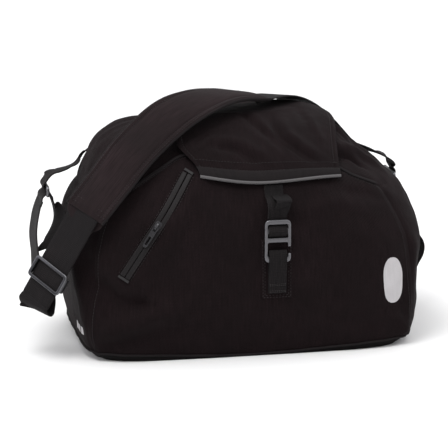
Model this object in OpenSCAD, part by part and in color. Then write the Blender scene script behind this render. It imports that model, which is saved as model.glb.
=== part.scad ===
// Rope storage bag: a soft duffel with a gathered collar, a lift-back flap,
// a webbing closure with a hook, a slanted front pocket and a padded shoulder strap.
// +X runs along the bag to its right end, -Y is the front, +Z is up.
// The origin is the middle of the flat underside.

/* [Bag] */
// Length of the bag at its fullest height
bag_length = 476; // [440:2:520]
// Depth of the bag at its fullest height
bag_depth = 282; // [260:2:300]
// Height of the mouth rim above the floor
bag_height = 298; // [280:1:310]
// Thickness of the canvas and its foam lining
wall = 3; // [2.4:0.1:3.4]
// Width of the seam gap between two panels
seam = 0.6; // [0.4:0.1:0.8]
// Angle at which an end panel meets the front and back panels
corner_angle = 28; // [26:1:32]

/* [Flap] */
// Distance of the flap's left edge from the middle
flap_left = 90; // [84:1:94]
// Distance of the flap's right edge from the middle
flap_right = 138; // [130:1:140]
// Thickness of the flap
flap_thick = 2.6; // [2:0.1:3]

/* [Closure] */
// Width of the closure webbing
hook_web = 25; // [20:1:26]
// Distance of the closure to the right of the middle
hook_x = 30; // [26:1:36]
// Width of the hook plate
hook_wide = 35; // [34:0.5:36]
// Height of the hook plate
hook_tall = 57; // [56:0.5:58]
// Thickness of the hook plate
hook_thick = 4; // [3:0.5:4]
// Thickness of the closure webbing
web_thick = 1.4; // [1:0.1:1.5]

/* [Pocket zip] */
// Width of one side of the zip tape
tape_wide = 6.6; // [6:0.2:7]
// Width of the slit between the two tapes
tape_gap = 1.2; // [1:0.1:1.4]

/* [Shoulder strap] */
// Width of the shoulder pad
pad_wide = 62; // [56:1:64]
// Thickness of the shoulder pad
pad_thick = 10; // [8:0.5:11]
// Width of the shoulder webbing
strap_web = 50; // [44:1:50]
// Thickness of the shoulder webbing
strap_thick = 2; // [1.6:0.1:2.2]
// Thickness of the metal in the end rings
ring_wire = 4; // [3:0.5:4]

/* [Hidden] */
half_l = bag_length / 2;
half_d = bag_depth / 2;

// Sections of the bag from the floor to the mouth rim, as fractions:
// [height, left reach, right reach, front reach, back reach], squareness and
// how far the section is set back
sections = [for (s = [
    [0,     0.87,  0.9,   0.93,  0.91,  6,   0],
    [0.054, 0.925, 0.966, 0.95,  0.94,  7,   0],
    [0.151, 0.95,  0.992, 0.979, 0.965, 6,   0],
    [0.302, 0.966, 1.013, 1.007, 0.993, 4.8, 0],
    [0.487, 0.975, 1.034, 0.993, 0.993, 4,   0],
    [0.621, 0.945, 0.985, 0.955, 0.955, 3.4, 2],
    [0.722, 0.89,  0.915, 0.9,   0.88,  3,   5],
    [0.822, 0.84,  0.735, 0.81,  0.76,  2.7, 10],
    [0.906, 0.77,   0.635, 0.7,   0.62,  2.5, 17],
    [0.963, 0.66,  0.55,  0.55,  0.5,   2.3, 23],
    [1,     0.45,  0.42,  0.36,  0.31,  2.1, 26]])
    [s[0] * bag_height, s[1] * half_l, s[2] * half_l, s[3] * half_d, s[4] * half_d, s[5], s[6]]];
seam_low = 1;       // section at the underside seam
seam_end = 6;       // section at the shoulder seam on the ends
seam_rise = 1.8;    // sections that the shoulder seam climbs at the front and back
seam_climb = [26, 52]; // compass angles from the end between which it climbs
rim = len(sections) - 1;

function pick(list, i) = list[max(0, min(len(list) - 1, i))];
function blend4(a, b, c, d, t) =
    0.5 * (2 * b + (c - a) * t + (2 * a - 5 * b + 4 * c - d) * t * t
           + (3 * b - a - 3 * c + d) * t * t * t);
function along(list, t) =
    let (i = max(0, min(floor(t), len(list) - 2)))
    blend4(pick(list, i - 1), list[i], list[i + 1], pick(list, i + 2), t - i);
function unit(v) = v / norm(v);

// Bag surface: a is the compass angle in degrees, t runs through the sections
function bare(a, t) =
    let (s = along(sections, t),
         ex = cos(a) < 0 ? s[1] : s[2],
         ey = sin(a) < 0 ? s[3] : s[4],
         r = pow(pow(abs(cos(a)) / ex, s[5]) + pow(abs(sin(a)) / ey, s[5]), -1 / s[5]))
    [r * cos(a), s[6] + r * sin(a), s[0]];
function outward(a, t) =
    unit(cross(bare(a + 0.5, t) - bare(a - 0.5, t), bare(a, t + 0.05) - bare(a, t - 0.05)));
function skin(a, t, off) = bare(a, t) + off * outward(a, t);

// Section number at a given height, and depth of the front face there
function level(z, lo = 0, hi = rim, steps = 18) =
    steps == 0 ? (lo + hi) / 2 :
    let (mid = (lo + hi) / 2)
    along(sections, mid)[0] < z ? level(z, mid, hi, steps - 1) : level(z, lo, mid, steps - 1);
function front_y(x, z) =
    let (s = along(sections, level(z)), ex = x < 0 ? s[1] : s[2])
    s[6] - s[3] * pow(1 - pow(abs(x) / ex, s[5]), 1 / s[5]);

// Height of the bag's top at a place in plan, level across the mouth
function inside(x, y, t) =
    let (s = along(sections, t), ex = x < 0 ? s[1] : s[2], ey = y < s[6] ? s[3] : s[4])
    pow(abs(x) / ex, s[5]) + pow(abs(y - s[6]) / ey, s[5]) < 1;
function top_level(x, y, lo = 4, hi = rim, steps = 14) =
    steps == 0 ? (lo + hi) / 2 :
    let (mid = (lo + hi) / 2)
    inside(x, y, mid) ? top_level(x, y, mid, hi, steps - 1) : top_level(x, y, lo, mid, steps - 1);
function top_z(x, y) = along(sections, top_level(x, y))[0];

// A closed solid between two matching grids of points, the outer one seen with
// its rows going up and its columns going right
module slab(outer, inner, wrap = false) {
    rows = len(outer);
    cols = len(outer[0]);
    spans = wrap ? cols : cols - 1;
    skip = rows * cols;
    function o(i, j) = i * cols + j % cols;
    function n(i, j) = skip + o(i, j);
    polyhedron(
        points = concat([for (r = outer) each r], [for (r = inner) each r]),
        faces = concat(
            [for (i = [0:rows - 2], j = [0:spans - 1])
                each [[o(i, j), o(i + 1, j), o(i + 1, j + 1)], [o(i, j), o(i + 1, j + 1), o(i, j + 1)],
                      [n(i, j), n(i + 1, j + 1), n(i + 1, j)], [n(i, j), n(i, j + 1), n(i + 1, j + 1)]]],
            [for (j = [0:spans - 1], k = [rows - 1])
                each [[o(0, j), o(0, j + 1), n(0, j + 1)], [o(0, j), n(0, j + 1), n(0, j)],
                      [o(k, j + 1), o(k, j), n(k, j)], [o(k, j + 1), n(k, j), n(k, j + 1)]]],
            wrap ? [] : [for (i = [0:rows - 2], k = [cols - 1])
                each [[o(i + 1, 0), o(i, 0), n(i, 0)], [o(i + 1, 0), n(i, 0), n(i + 1, 0)],
                      [o(i, k), o(i + 1, k), n(i + 1, k)], [o(i, k), n(i + 1, k), n(i, k)]]]));
}

// A stretch of the bag's skin between two angles and two section functions
module patch(a0, a1, low, high, cols, rows, outer, inner, wrap = false) {
    last = wrap ? cols - 1 : cols;
    grid = function (off)
        [for (i = [0:rows]) [for (j = [0:last])
            let (a = a0 + (a1 - a0) * j / cols, t = low(a) + (high(a) - low(a)) * i / rows)
            skin(a, t, off)]];
    slab(grid(outer), grid(inner), wrap);
}

// A round tube along a list of points, closed on itself when loop is true
module tube(path, r, sides = 8, loop = false) {
    n = len(path);
    function at(i) = loop ? path[(i + n) % n] : pick(path, i);
    rings = [for (i = [0:n - 1])
        let (d = unit(at(i + 1) - at(i - 1)),
             side = unit(cross(d, abs(d[2]) > 0.9 ? [1, 0, 0] : [0, 0, 1])),
             up = cross(side, d))
        [for (k = [0:sides - 1]) path[i] + r * (cos(360 * k / sides) * side + sin(360 * k / sides) * up)]];
    spans = loop ? n : n - 1;
    function v(i, k) = (i % n) * sides + k % sides;
    polyhedron(
        points = [for (g = rings) each g],
        faces = concat(
            [for (i = [0:spans - 1], k = [0:sides - 1])
                each [[v(i, k), v(i + 1, k + 1), v(i + 1, k)], [v(i, k), v(i, k + 1), v(i + 1, k + 1)]]],
            loop ? [] : [[for (k = [sides - 1:-1:0]) k], [for (k = [0:sides - 1]) (n - 1) * sides + k]]));
}

// A flat band of webbing: each stop is [place, direction across the band]
module band(stops, wide, thick, fine = 4) {
    steps = (len(stops) - 1) * fine;
    places = [for (s = stops) s[0]];
    across = [for (s = stops) s[1]];
    function place(u) = along(places, u);
    grid = function (lift)
        [for (i = [0:steps])
            let (u = i / fine, p = place(u),
                 d = unit(place(min(u + 0.1, len(stops) - 1)) - place(max(u - 0.1, 0))),
                 raw = along(across, u), w = unit(raw - (raw * d) * d), face = cross(w, d))
            [p - w * wide / 2 + face * lift, p + w * wide / 2 + face * lift]];
    slab(grid(thick / 2), grid(-thick / 2));
}

module round_rect(w, h, r) {
    for (x = [-1, 1], y = [-1, 1])
        translate([x * (w / 2 - r), y * (h / 2 - r)]) circle(r, $fn = 32);
    square([w, h - 2 * r], center = true);
    square([w - 2 * r, h], center = true);
}

// Stands a flat drawing upright, facing the front, with its back at depth y
module upright(x, y, z, thick) {
    translate([x, y, z]) rotate([90, 0, 0]) linear_extrude(thick) children();
}

// Angle gap that opens a seam of the wanted width at the corners
seam_angle = seam / half_l * 90 / PI * 2;
function from_end(a) = asin(abs(sin(a)));
function ease(u) = let (v = max(0, min(1, u))) v * v * (3 - 2 * v);
shoulder = function (a)
    seam_end + seam_rise * ease((from_end(a) - seam_climb[0]) / (seam_climb[1] - seam_climb[0]));
foot = function (a) seam_low * (0.25 + 0.75 * pow(abs(cos(a)), 2));
below_shoulder = function (a) shoulder(a) - 0.02;
above_foot = function (a) foot(a) + 0.03;

module side_panel(middle, reach, cols)
    patch(middle - reach + seam_angle, middle + reach - seam_angle, above_foot, below_shoulder,
          cols, 14, 0, -wall);

/* Bag shell */
module front_panel() color("#1b1a1d") difference() {
    side_panel(-90, 90 - corner_angle, 26);
    // the pocket's mouth, a slit behind the zip
    on_zip(zip_len / 2) cube([5, zip_len - 12, 60], center = true);
}
module back_panel() color("#1b1a1d") side_panel(90, 90 - corner_angle, 26);
module left_end_panel() color("#19181b") side_panel(180, corner_angle, 16);
module right_end_panel() color("#19181b") side_panel(0, corner_angle, 16);

// The underside: a shallow tray with a flat floor and turned-up edges
module bottom_panel() {
    cols = 64;
    rows = 4;
    function turn(k) = 360 * k / cols;
    outer = [for (i = [rows:-1:0]) [for (k = [0:cols - 1]) bare(turn(k), foot(turn(k)) * i / rows)]];
    inner = [for (i = [0:rows]) [for (k = [0:cols - 1])
        let (t = foot(turn(k)) * i / rows, p = skin(turn(k), t, -wall)) [p[0], p[1], max(wall + 0.1 * i, p[2])]]];
    rings = concat(inner, outer);
    n = len(rings);
    function v(i, k) = i * cols + k % cols;
    color("#161518") polyhedron(
        points = [for (g = rings) each g],
        faces = concat(
            [for (i = [0:n - 2], k = [0:cols - 1])
                each [[v(i, k), v(i + 1, k + 1), v(i + 1, k)], [v(i, k), v(i, k + 1), v(i + 1, k + 1)]]],
            [[for (k = [cols - 1:-1:0]) k], [for (k = [0:cols - 1]) (n - 1) * cols + k]]));
}

board_thick = 4;
module base_board() {
    color("#3a393c") translate([0, 0, wall + 0.8])
        linear_extrude(board_thick)
            polygon([for (k = [0:5:355]) let (p = skin(k, 0.1, -wall - 7)) [p[0], p[1]]]);
}

module collar() {
    color("#1d1c1f")
        patch(-180, 180, function (a) shoulder(a) + 0.03, function (a) rim, 56, 12, 0, -wall, true);
}

hem_r = 2.4;
module collar_hem() {
    color("#141316")
        tube([for (k = [0:6:354]) let (p = bare(k, rim)) [p[0], p[1], p[2] + hem_r + 0.3]], hem_r, 8, true);
}

// Two eyelets on the collar's front, just under the hem
eyelet_turn = 14;      // compass angle between each eyelet and the middle
eyelet_r = 4.6;
eyelet_hole_r = 2.4;
module collar_eyelets() {
    for (s = [-1, 1]) {
        a = -90 + s * eyelet_turn;
        t = rim - 0.75;
        n = outward(a, t);
        color("#5b5c60") translate(skin(a, t, 0.3)) rotate([0, acos(n[2]), atan2(n[1], n[0])])
            difference() {
                cylinder(r = eyelet_r, h = 0.9, $fn = 48);
                translate([0, 0, -1]) cylinder(r = eyelet_hole_r, h = 3, $fn = 48);
            }
    }
}

// Webbing loops sewn inside the collar for the two rope ends
tie_out = 9;
tie_wide = 15;
module rope_tie_loops() {
    for (s = [-1, 1]) {
        x = 10 + s * 70;
        y = 92;
        color("#c8322b") band([
            [[x, y, 196], [1, 0, 0]],
            [[x, y - 2, 206], [1, 0, 0]],
            [[x, y - tie_out, 214], [1, 0, 0]],
            [[x, y - 2 * tie_out, 204], [1, 0, 0]],
            [[x, y - 2 * tie_out, 184], [1, 0, 0]],
            [[x, y - tie_out, 172], [1, 0, 0]],
            [[x, y - 1, 180], [1, 0, 0]],
            [[x, y, 190], [1, 0, 0]]], tie_wide, 1.6, 3);
        // the stack of folded webbing that is sewn to the collar
        color("#c8322b") translate([x - tie_wide / 2, y + 0.9, 178]) cube([tie_wide, 13, 26]);
    }
}

// Piping along the two horizontal seams
pipe_r = 1.3;
function pipe_line(a0, a1, step, t) = [for (a = [a0:step:a1]) skin(a, t(a), pipe_r + 0.25)];
module foot_piping() {
    color("#232226") tube([for (a = [0:5:355]) skin(a, foot(a), pipe_r + 1.1)], pipe_r, 6, true);
}
module shoulder_piping() {
    color("#2b2a2e") tube(pipe_line(-148, -32, 4, shoulder), pipe_r, 6);
    color("#2b2a2e") tube(pipe_line(32, 148, 4, shoulder), pipe_r, 6);
}

/* Marks */
// A plain rounded upright mark on the right front corner
module side_mark() {
    color("#c9c9cc") slab(
        [for (i = [0:10]) [for (j = [0:6]) mark_point(i, j, 0.6)]],
        [for (i = [0:10]) [for (j = [0:6]) mark_point(i, j, 0)]]);
}
mark_angle = -34.2;
mark_half = 2.9;    // half its width, in degrees round the bag
mark_z = 93;
mark_rise = 31;     // half its height
function mark_point(i, j, lift) =
    let (u = i / 10 * 2 - 1, half = mark_half * pow(1.02 - pow(abs(u), 2.6), 0.45))
    skin(mark_angle + half * (j / 3 - 1), level(mark_z + mark_rise * u), lift + 1.1);

// Three plain bars low on the left end
module end_bars() {
    for (k = [0:2]) {
        a = 196 + k * 3.4;
        color("#b9b9bc") slab(
            [for (z = [33, 38, 43]) [for (j = [0, 1]) skin(a + j * 2.2, level(z), 0.8)]],
            [for (z = [33, 38, 43]) [for (j = [0, 1]) skin(a + j * 2.2, level(z), 0.3)]]);
    }
}

/* Front pocket */
zip_low = [-171, -139, 118];
zip_mid = [-114, -131.5, 200];
zip_top = [-82, -107, 245];
zip_dir = unit(zip_mid - zip_low);
zip_len = norm(zip_mid - zip_low);
zip_face = unit([-0.32, -0.94, 0.22] - ([-0.32, -0.94, 0.22] * zip_dir) * zip_dir);
zip_side = cross(zip_dir, zip_face);
zip_stops = [zip_low, (zip_low + zip_mid) / 2, zip_mid, zip_top];

// One tape, s = -1 on the upper left and 1 on the lower right
module zip_tape(s) {
    shift = s * (tape_gap + tape_wide) / 2;
    slab([for (i = [0:3]) tape_edge(i, shift, s, 0.6)], [for (i = [0:3]) tape_edge(i, shift, s, -0.6)]);
}
function tape_face(i) = i < 3 ? zip_face : unit([-0.25, -0.8, 0.55]);
function tape_side(i) =
    let (d = i < 3 ? zip_dir : unit(zip_top - zip_mid), f = tape_face(i)) unit(cross(d, f));
function tape_edge(i, shift, s, lift) =
    [for (e = [1, -1])
        zip_stops[i] - tape_side(i) * (shift + e * tape_wide / 2) + tape_face(i) * lift];
module zip_tape_upper() color("#2a292d") zip_tape(-1);
module zip_tape_lower() color("#2a292d") zip_tape(1);

// The coil lies behind the slit, as two rows of teeth joined by their cords
module zip_coil() {
    step = 4;
    color("#0f0f11") for (s = [-1, 1])
        tube([for (k = [2:step:zip_len - 2])
                zip_low + zip_dir * k + zip_side * s * 0.75 - zip_face * 1.5], 0.65, 6);
}
module zip_end_stops() {
    color("#0f0f11") {
        on_zip(-2.8) cube([16, 3, 2.4], center = true);
        translate(zip_top - zip_low) on_zip(3.4) cube([13, 3, 2.4], center = true);
    }
}
module on_zip(k) {
    p = zip_low + zip_dir * k;
    multmatrix([[zip_side[0], zip_dir[0], zip_face[0], p[0]],
                [zip_side[1], zip_dir[1], zip_face[1], p[1]],
                [zip_side[2], zip_dir[2], zip_face[2], p[2]]]) children();
}

// Slider near the top of its straight run, with a bridge for the pull
slider_at = 78;
slider_lift = 1;
slider_thick = 1.4;
bar_rise = 1.9;      // clearance from the pull's pivot up to the bridge
pull_z = 7.2;       // height of the pull's pivot above the tape
post_y = -4;        // place of the bridge's lower post, inside the pull's eye
post = 1.5;
module zip_slider() {
    color("#3c3d41") on_zip(slider_at) {
        translate([0, 0, slider_lift]) linear_extrude(slider_thick)
            polygon([[-4.6, 5.5], [-3, 7], [3, 7], [4.6, 5.5], [3.4, -6], [-3.4, -6]]);
        for (y = [post_y - post / 2, 4 - post / 2])
            translate([-1.3, y, slider_lift + 1]) cube([2.6, post, pull_z + bar_rise - slider_lift - 0.5]);
        translate([-1.3, post_y - post / 2, pull_z + bar_rise]) cube([2.6, 4 - post_y + post, 1]);
    }
}

// The pull is threaded on the bridge and leans down along the zip
pull_long = 32.2;
module zip_pull() {
    color("#2f3034") on_zip(slider_at) translate([0, post_y, pull_z]) rotate([9, 0, 0])
        difference() {
            translate([0, 4.5 - pull_long / 2, -0.8]) linear_extrude(1.6) round_rect(7.4, pull_long, 3);
            translate([-2, -3.3, -2]) cube([4, 6.6, 4]);
        }
}

// The pocket's lining hangs inside, behind the zip
module pocket_lining() {
    color("#2c2b2f")
        patch(-146, -112, function (a) 1.4, function (a) 5.6, 10, 8, -wall - 12, -wall - 13.4);
}

/* Closure on the bag */
patch_low = 80;
patch_high = 160;
patch_wide = 41;
function face_y(z) = front_y(hook_x, z);
module hook_patch() {
    color("#212024") slab(
        [for (z = [patch_low:(patch_high - patch_low) / 6:patch_high + 1]) patch_row(z, 1.7)],
        [for (z = [patch_low:(patch_high - patch_low) / 6:patch_high + 1]) patch_row(z, 0.3)]);
}
function patch_row(z, off) =
    [for (k = [-1, -0.5, 0, 0.5, 1]) [hook_x + k * patch_wide / 2, front_y(hook_x + k * patch_wide / 2, z) - off, z]];

// Hook plate geometry: its back sits clear of the patch
hook_top = 187;
hook_low = hook_top - hook_tall;
hook_back = face_y(150) - 6;
hook_front = hook_back - hook_thick;
hook_mid = (hook_back + hook_front) / 2;
bar = 6;
slot = 6;
leg = 7;
slot_wide = hook_web + 2;

module g_hook() {
    color("#8d8f94") upright(hook_x, hook_back, hook_low + hook_tall / 2, hook_thick)
        difference() {
            round_rect(hook_wide, hook_tall, 6);
            for (k = [0, 1])
                translate([0, hook_tall / 2 - bar - slot / 2 - k * (bar + slot)])
                    square([slot_wide, slot], center = true);
            // the catch window, open to the right above the leg's raised tip
            translate([-slot_wide / 2, -hook_tall / 2 + leg])
                square([slot_wide, hook_tall - 3 * bar - 2 * slot - leg]);
            translate([0, -hook_tall / 2 + leg + 5])
                square([hook_wide, 9]);
        }
}

loop_top = 146;
loop_low = 88;
module hook_loop() {
    out = hook_front - 1.7;
    function behind(z) = face_y(z) - 2.9;
    color("#27262a") band([
        [[hook_x, behind(loop_low), loop_low], [1, 0, 0]],
        [[hook_x, behind(110), 110], [1, 0, 0]],
        [[hook_x, behind(130), loop_top - 12], [1, 0, 0]],
        [[hook_x, behind(140) - 0.3, loop_top - 5], [1, 0, 0]],
        [[hook_x, hook_mid, loop_top], [1, 0, 0]],
        [[hook_x, out, loop_top - 5], [1, 0, 0]],
        [[hook_x, out, loop_top - 16], [1, 0, 0]],
        [[hook_x, behind(108) - 3.4, 108], [1, 0, 0]],
        [[hook_x, behind(loop_low) - 2, loop_low], [1, 0, 0]]], hook_web - 1, web_thick, 4);
}

/* Flap */
// Hem line of the flap in plan, and how far its side edges step in at the hem
function hem_y(x) = -119 + 0.0011 * pow(x - 18, 2);
hem_in_left = 24;
hem_in_right = 15;
back_in = [24, 52];    // the same steps at the back edge, left and right
back_share = 0.3;      // share of the flap's length in which they fade out
flap_back = 80;
flap_lift = 5.6;
function flap_z(x, y) =
    max(top_z(x, y), top_z(x, y + 2)) + flap_lift + 2.4 * cos(min(90, abs(y - 10) * 1.2));
function flap_place(u, v) =
    let (back = ease(1 - v / back_share),
         x = -(flap_left - hem_in_left * ease(v * 6 - 5) - back_in[0] * back) * (1 - u)
             + (flap_right - hem_in_right * ease(v * 1.6 - 0.6) - back_in[1] * back) * u,
         y = flap_back + (hem_y(x) - flap_back) * v)
    [x, y, flap_z(x, y)];
function flap_point(u, v, off) =
    let (e = 0.01, f = flap_place(u + e, v) - flap_place(u - e, v),
         g = flap_place(u, v - e) - flap_place(u, v + e))
    flap_place(u, v) + off * unit(cross(f, g));
flap_us = [for (j = [0:22]) j / 22];
hem_v = 0.965;
module flap_cloth(v0, v1, rows, top, under) {
    slab([for (i = [0:rows]) [for (u = flap_us) flap_point(u, v1 + (v0 - v1) * i / rows, top)]],
         [for (i = [0:rows]) [for (u = flap_us) flap_point(u, v1 + (v0 - v1) * i / rows, under)]]);
}
module flap() color("#1e1d20") flap_cloth(0, hem_v - 0.003, 14, flap_thick, 0);
module flap_binding() color("#7c7b80") flap_cloth(hem_v, 1, 2, flap_thick + 0.8, -0.6);

// The seam tape that holds the flap to the bag's back edge
module flap_hinge_tape() {
    function row(i, lift) = [for (x = [80:-12:-64])
        let (y = flap_back + 15 - i * 11) [x, y, top_z(x, y) + lift]];
    color("#232226") slab([row(0, 5), row(1, 5)], [row(0, 3.2), row(1, 3.2)]);
}

/* Closure strap, sewn under the flap's hem */
hem_point = flap_point((hook_x + flap_left) / (flap_left + flap_right), 1, -1);
strap_top = hem_point[2] - 2.4;
strap_face = hook_back + 2.2;
fold_top = hook_top + 5;
strap_stops = [
    [[hook_x, hem_point[1] - 1, strap_top], [1, 0, 0]],
    [[hook_x, hem_point[1] - 7, strap_top - 12], [1, 0, 0]],
    [[hook_x, (hem_point[1] + strap_face) / 2 - 7, (strap_top + fold_top) / 2], [1, 0, 0]],
    [[hook_x, strap_face - 1, fold_top + 10], [1, 0, 0]],
    [[hook_x, strap_face, fold_top + 0.3], [1, 0, 0]]];
module hook_strap() color("#2c2b2f") band(strap_stops, hook_web, web_thick, 4);

// The strap's end, threaded round the hook's upper bars, with its tail behind
module strap_fold() {
    bar_z = hook_top - bar - slot - bar / 2;
    color("#2c2b2f") band([
        [[hook_x, strap_face, fold_top - 0.3], [1, 0, 0]],
        [[hook_x, strap_face, hook_top - 3], [1, 0, 0]],
        [[hook_x, strap_face - 0.8, bar_z + 8.6], [1, 0, 0]],
        [[hook_x, hook_mid, bar_z + 6], [1, 0, 0]],
        [[hook_x, hook_front - 2.2, bar_z + 1.8], [1, 0, 0]],
        [[hook_x, hook_front - 2.2, bar_z - 1.8], [1, 0, 0]],
        [[hook_x, hook_mid, bar_z - 6.2], [1, 0, 0]],
        [[hook_x, hook_back + 1.6, bar_z - 8.5], [1, 0, 0]]], hook_web, web_thick, 4);
}

/* Shoulder strap */
pad_stops = [
    [[-218, -112, 199], [0.73, -0.63, -0.27]],
    [[-185, -100, 235], [0.72, -0.62, -0.32]],
    [[-146, -84, 276], [0.70, -0.60, -0.40]],
    [[-98, -62, 311], [0.66, -0.62, -0.42]],
    [[-55, -40, 326], [0.58, -0.76, -0.28]],
    [[-12, -16, 329], [0.50, -0.86, -0.08]],
    [[33, 8, 321], [0.46, -0.89, 0.04]]];
module shoulder_pad() color("#232226") band(pad_stops, pad_wide, pad_thick, 4);

adjuster_dir = unit([-49, 6, -87]);
web_top = [-222, -111, 193];
web_across = [0.62, -0.75, -0.2];
web_len = 124;
module front_webbing() {
    color("#2f2e32") band([
        [web_top, web_across],
        [web_top + adjuster_dir * web_len / 2, web_across],
        [web_top + adjuster_dir * web_len, web_across]], strap_web, strap_thick, 3);
}

// Cranked three-bar adjuster: outer bars in front of the webbing, middle bar behind
adjuster_at = 88;
adjuster_wide = 60;
adjuster_tall = 30;
adj_side = unit(web_across - (web_across * adjuster_dir) * adjuster_dir);
adj_face = cross(adj_side, adjuster_dir);
module on_strap(k) {
    p = web_top + adjuster_dir * k;
    multmatrix([[adj_side[0], -adjuster_dir[0], adj_face[0], p[0]],
                [adj_side[1], -adjuster_dir[1], adj_face[1], p[1]],
                [adj_side[2], -adjuster_dir[2], adj_face[2], p[2]]]) children();
}
module strap_adjuster() {
    rail = 4.4;
    color("#77787c") on_strap(adjuster_at) {
        for (s = [-1, 1]) {
            translate([0, s * (adjuster_tall / 2 - 2), 3.6]) rotate([0, 90, 0])
                cylinder(r = 2, h = adjuster_wide, center = true, $fn = 24);
            translate([s * (adjuster_wide / 2 - rail / 2), 0, 0])
                cube([rail, adjuster_tall - 4, 7.2], center = true);
        }
        translate([0, 0, -3.4]) rotate([0, 90, 0])
            cylinder(r = 1.8, h = adjuster_wide - 1, center = true, $fn = 24);
    }
}

// Webbing that runs from the fold below the adjuster up to the left ring and back
module left_strap_loop() {
    color("#2f2e32") band([
        [web_top + adjuster_dir * (web_len + 1.2), web_across],
        [web_top + adjuster_dir * (web_len + 8), web_across],
        [[-281, -97, 70], web_across],
        [[-275, -84, 82], [0.4, -0.9, -0.2]],
        [[-276, -58, 108], [0.15, -1, 0]],
        [[-275, -28, 148], [0, -1, 0]],
        [[-268, 4, 176], [0, -1, 0]],
        [[-262, 7, 192], [0, -1, 0]]], strap_web, strap_thick, 5);
    color("#2f2e32") band([
        [[-247, 7, 195], [0, -1, 0]],
        [[-242, 4, 176], [0, -1, 0]],
        [[-247, -30, 156], [0.2, -1, 0]],
        [[-255, -52, 142], [0.4, -0.9, 0]]], strap_web, strap_thick, 5);
}

// Webbing from the pad's far end over the back and down to the right ring
module rear_webbing() {
    color("#2f2e32") band([
        [[37.5, 11, 320], [0.46, -0.89, 0.04]],
        [[80, 46, 314], [0.56, -0.8, 0.1]],
        [[124, 92, 284], [0.66, -0.66, 0.2]],
        [[176, 140, 226], [0.76, -0.5, 0.4]],
        [[230, 150, 166], [0.6, -0.7, 0.3]],
        [[264, 116, 120], [0.3, -0.95, 0.1]],
        [[281, 78, 84], [0.1, -1, 0]],
        [[266, 66, 66], [0, -1, 0]],
        [[257, 70, 100], [0, -1, 0]],
        [[256, 78, 140], [0, -1, 0]],
        [[246, 84, 178], [0, -1, 0]]], strap_web, strap_thick, 4);
}

// End rings: flat wire loops that stand along Y
ring_long = 58;
ring_short = 15;
left_ring_at = [-254, 7, 208];
right_ring_at = [242, 84, 190];
module end_ring(at) {
    color("#77787c") translate(at) rotate([90, 0, 90]) translate([0, 0, -ring_wire / 2])
        linear_extrude(ring_wire) difference() {
            round_rect(ring_long, ring_short, 4);
            round_rect(ring_long - 2 * ring_wire, ring_short - 2 * ring_wire + 1, 2);
        }
}
module left_ring() end_ring(left_ring_at);
module right_ring() end_ring(right_ring_at);

// Webbing tabs that hold the rings to the bag's shoulders
module left_anchor_tab() {
    color("#28272b") band([
        [skin(168, seam_end + 0.95, 5), [-0.4, -0.92, 0]],
        [skin(170, seam_end + 0.5, 8), [-0.3, -0.92, 0.1]],
        [[-228, 22, 231], [-0.15, -1, 0.1]],
        [[-247, 9, 228], [0, -1, 0]],
        [[-255, 7, 219.4], [0, -1, 0]]], 32, strap_thick, 4);
}
module right_anchor_tab() {
    color("#28272b") band([
        [skin(14, seam_end + 0.8, 5), [-0.1, -0.95, 0.3]],
        [skin(14, seam_end + 0.4, 9), [-0.1, -0.95, 0.3]],
        [[225, 62, 222], [-0.1, -1, 0.1]],
        [[239, 80, 212], [0, -1, 0]],
        [[243, 84, 203], [0, -1, 0]]], 32, strap_thick, 4);
}

front_panel();
back_panel();
left_end_panel();
right_end_panel();
bottom_panel();
base_board();
collar();
collar_hem();
collar_eyelets();
rope_tie_loops();
foot_piping();
shoulder_piping();
side_mark();
end_bars();
zip_tape_upper();
zip_tape_lower();
zip_coil();
zip_end_stops();
zip_slider();
zip_pull();
pocket_lining();
hook_patch();
hook_loop();
g_hook();
hook_strap();
strap_fold();
flap();
flap_binding();
flap_hinge_tape();
shoulder_pad();
front_webbing();
strap_adjuster();
left_strap_loop();
rear_webbing();
left_ring();
right_ring();
left_anchor_tab();
right_anchor_tab();
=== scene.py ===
"""Looks for a soft rope storage bag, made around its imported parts.

Every size is in millimetres and turns to metres where a mesh is made.
+X runs along the bag to its right end, -Y is the front and +Z is up.
"""

import logging
import math
from dataclasses import dataclass, field
from enum import Enum
from typing import Callable, Sequence

import bmesh
import bpy
import numpy as np
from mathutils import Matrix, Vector


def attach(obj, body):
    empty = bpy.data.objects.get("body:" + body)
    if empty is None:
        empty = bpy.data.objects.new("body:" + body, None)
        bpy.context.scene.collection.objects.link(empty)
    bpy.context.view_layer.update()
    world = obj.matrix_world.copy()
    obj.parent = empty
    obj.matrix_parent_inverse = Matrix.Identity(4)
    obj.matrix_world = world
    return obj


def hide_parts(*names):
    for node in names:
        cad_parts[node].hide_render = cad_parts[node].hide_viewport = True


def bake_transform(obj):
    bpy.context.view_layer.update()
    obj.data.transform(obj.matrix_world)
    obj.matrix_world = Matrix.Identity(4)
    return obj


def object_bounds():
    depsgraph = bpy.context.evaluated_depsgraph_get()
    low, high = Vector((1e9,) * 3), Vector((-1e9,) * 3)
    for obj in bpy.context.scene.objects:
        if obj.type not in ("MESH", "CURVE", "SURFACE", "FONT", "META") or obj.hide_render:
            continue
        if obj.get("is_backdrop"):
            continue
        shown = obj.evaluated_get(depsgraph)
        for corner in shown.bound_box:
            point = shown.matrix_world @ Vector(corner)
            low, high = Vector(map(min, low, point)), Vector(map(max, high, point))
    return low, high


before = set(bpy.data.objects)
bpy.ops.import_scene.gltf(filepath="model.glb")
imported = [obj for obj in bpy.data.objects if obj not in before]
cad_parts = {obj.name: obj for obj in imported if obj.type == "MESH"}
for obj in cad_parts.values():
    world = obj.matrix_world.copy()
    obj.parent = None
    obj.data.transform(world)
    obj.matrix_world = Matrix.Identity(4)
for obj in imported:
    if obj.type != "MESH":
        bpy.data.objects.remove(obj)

MM = 0.001
THREADS = "threads"
log = logging.getLogger("rope_bag")
Place = Sequence[float]


# ---------------------------------------------------------------- numbers


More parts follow.
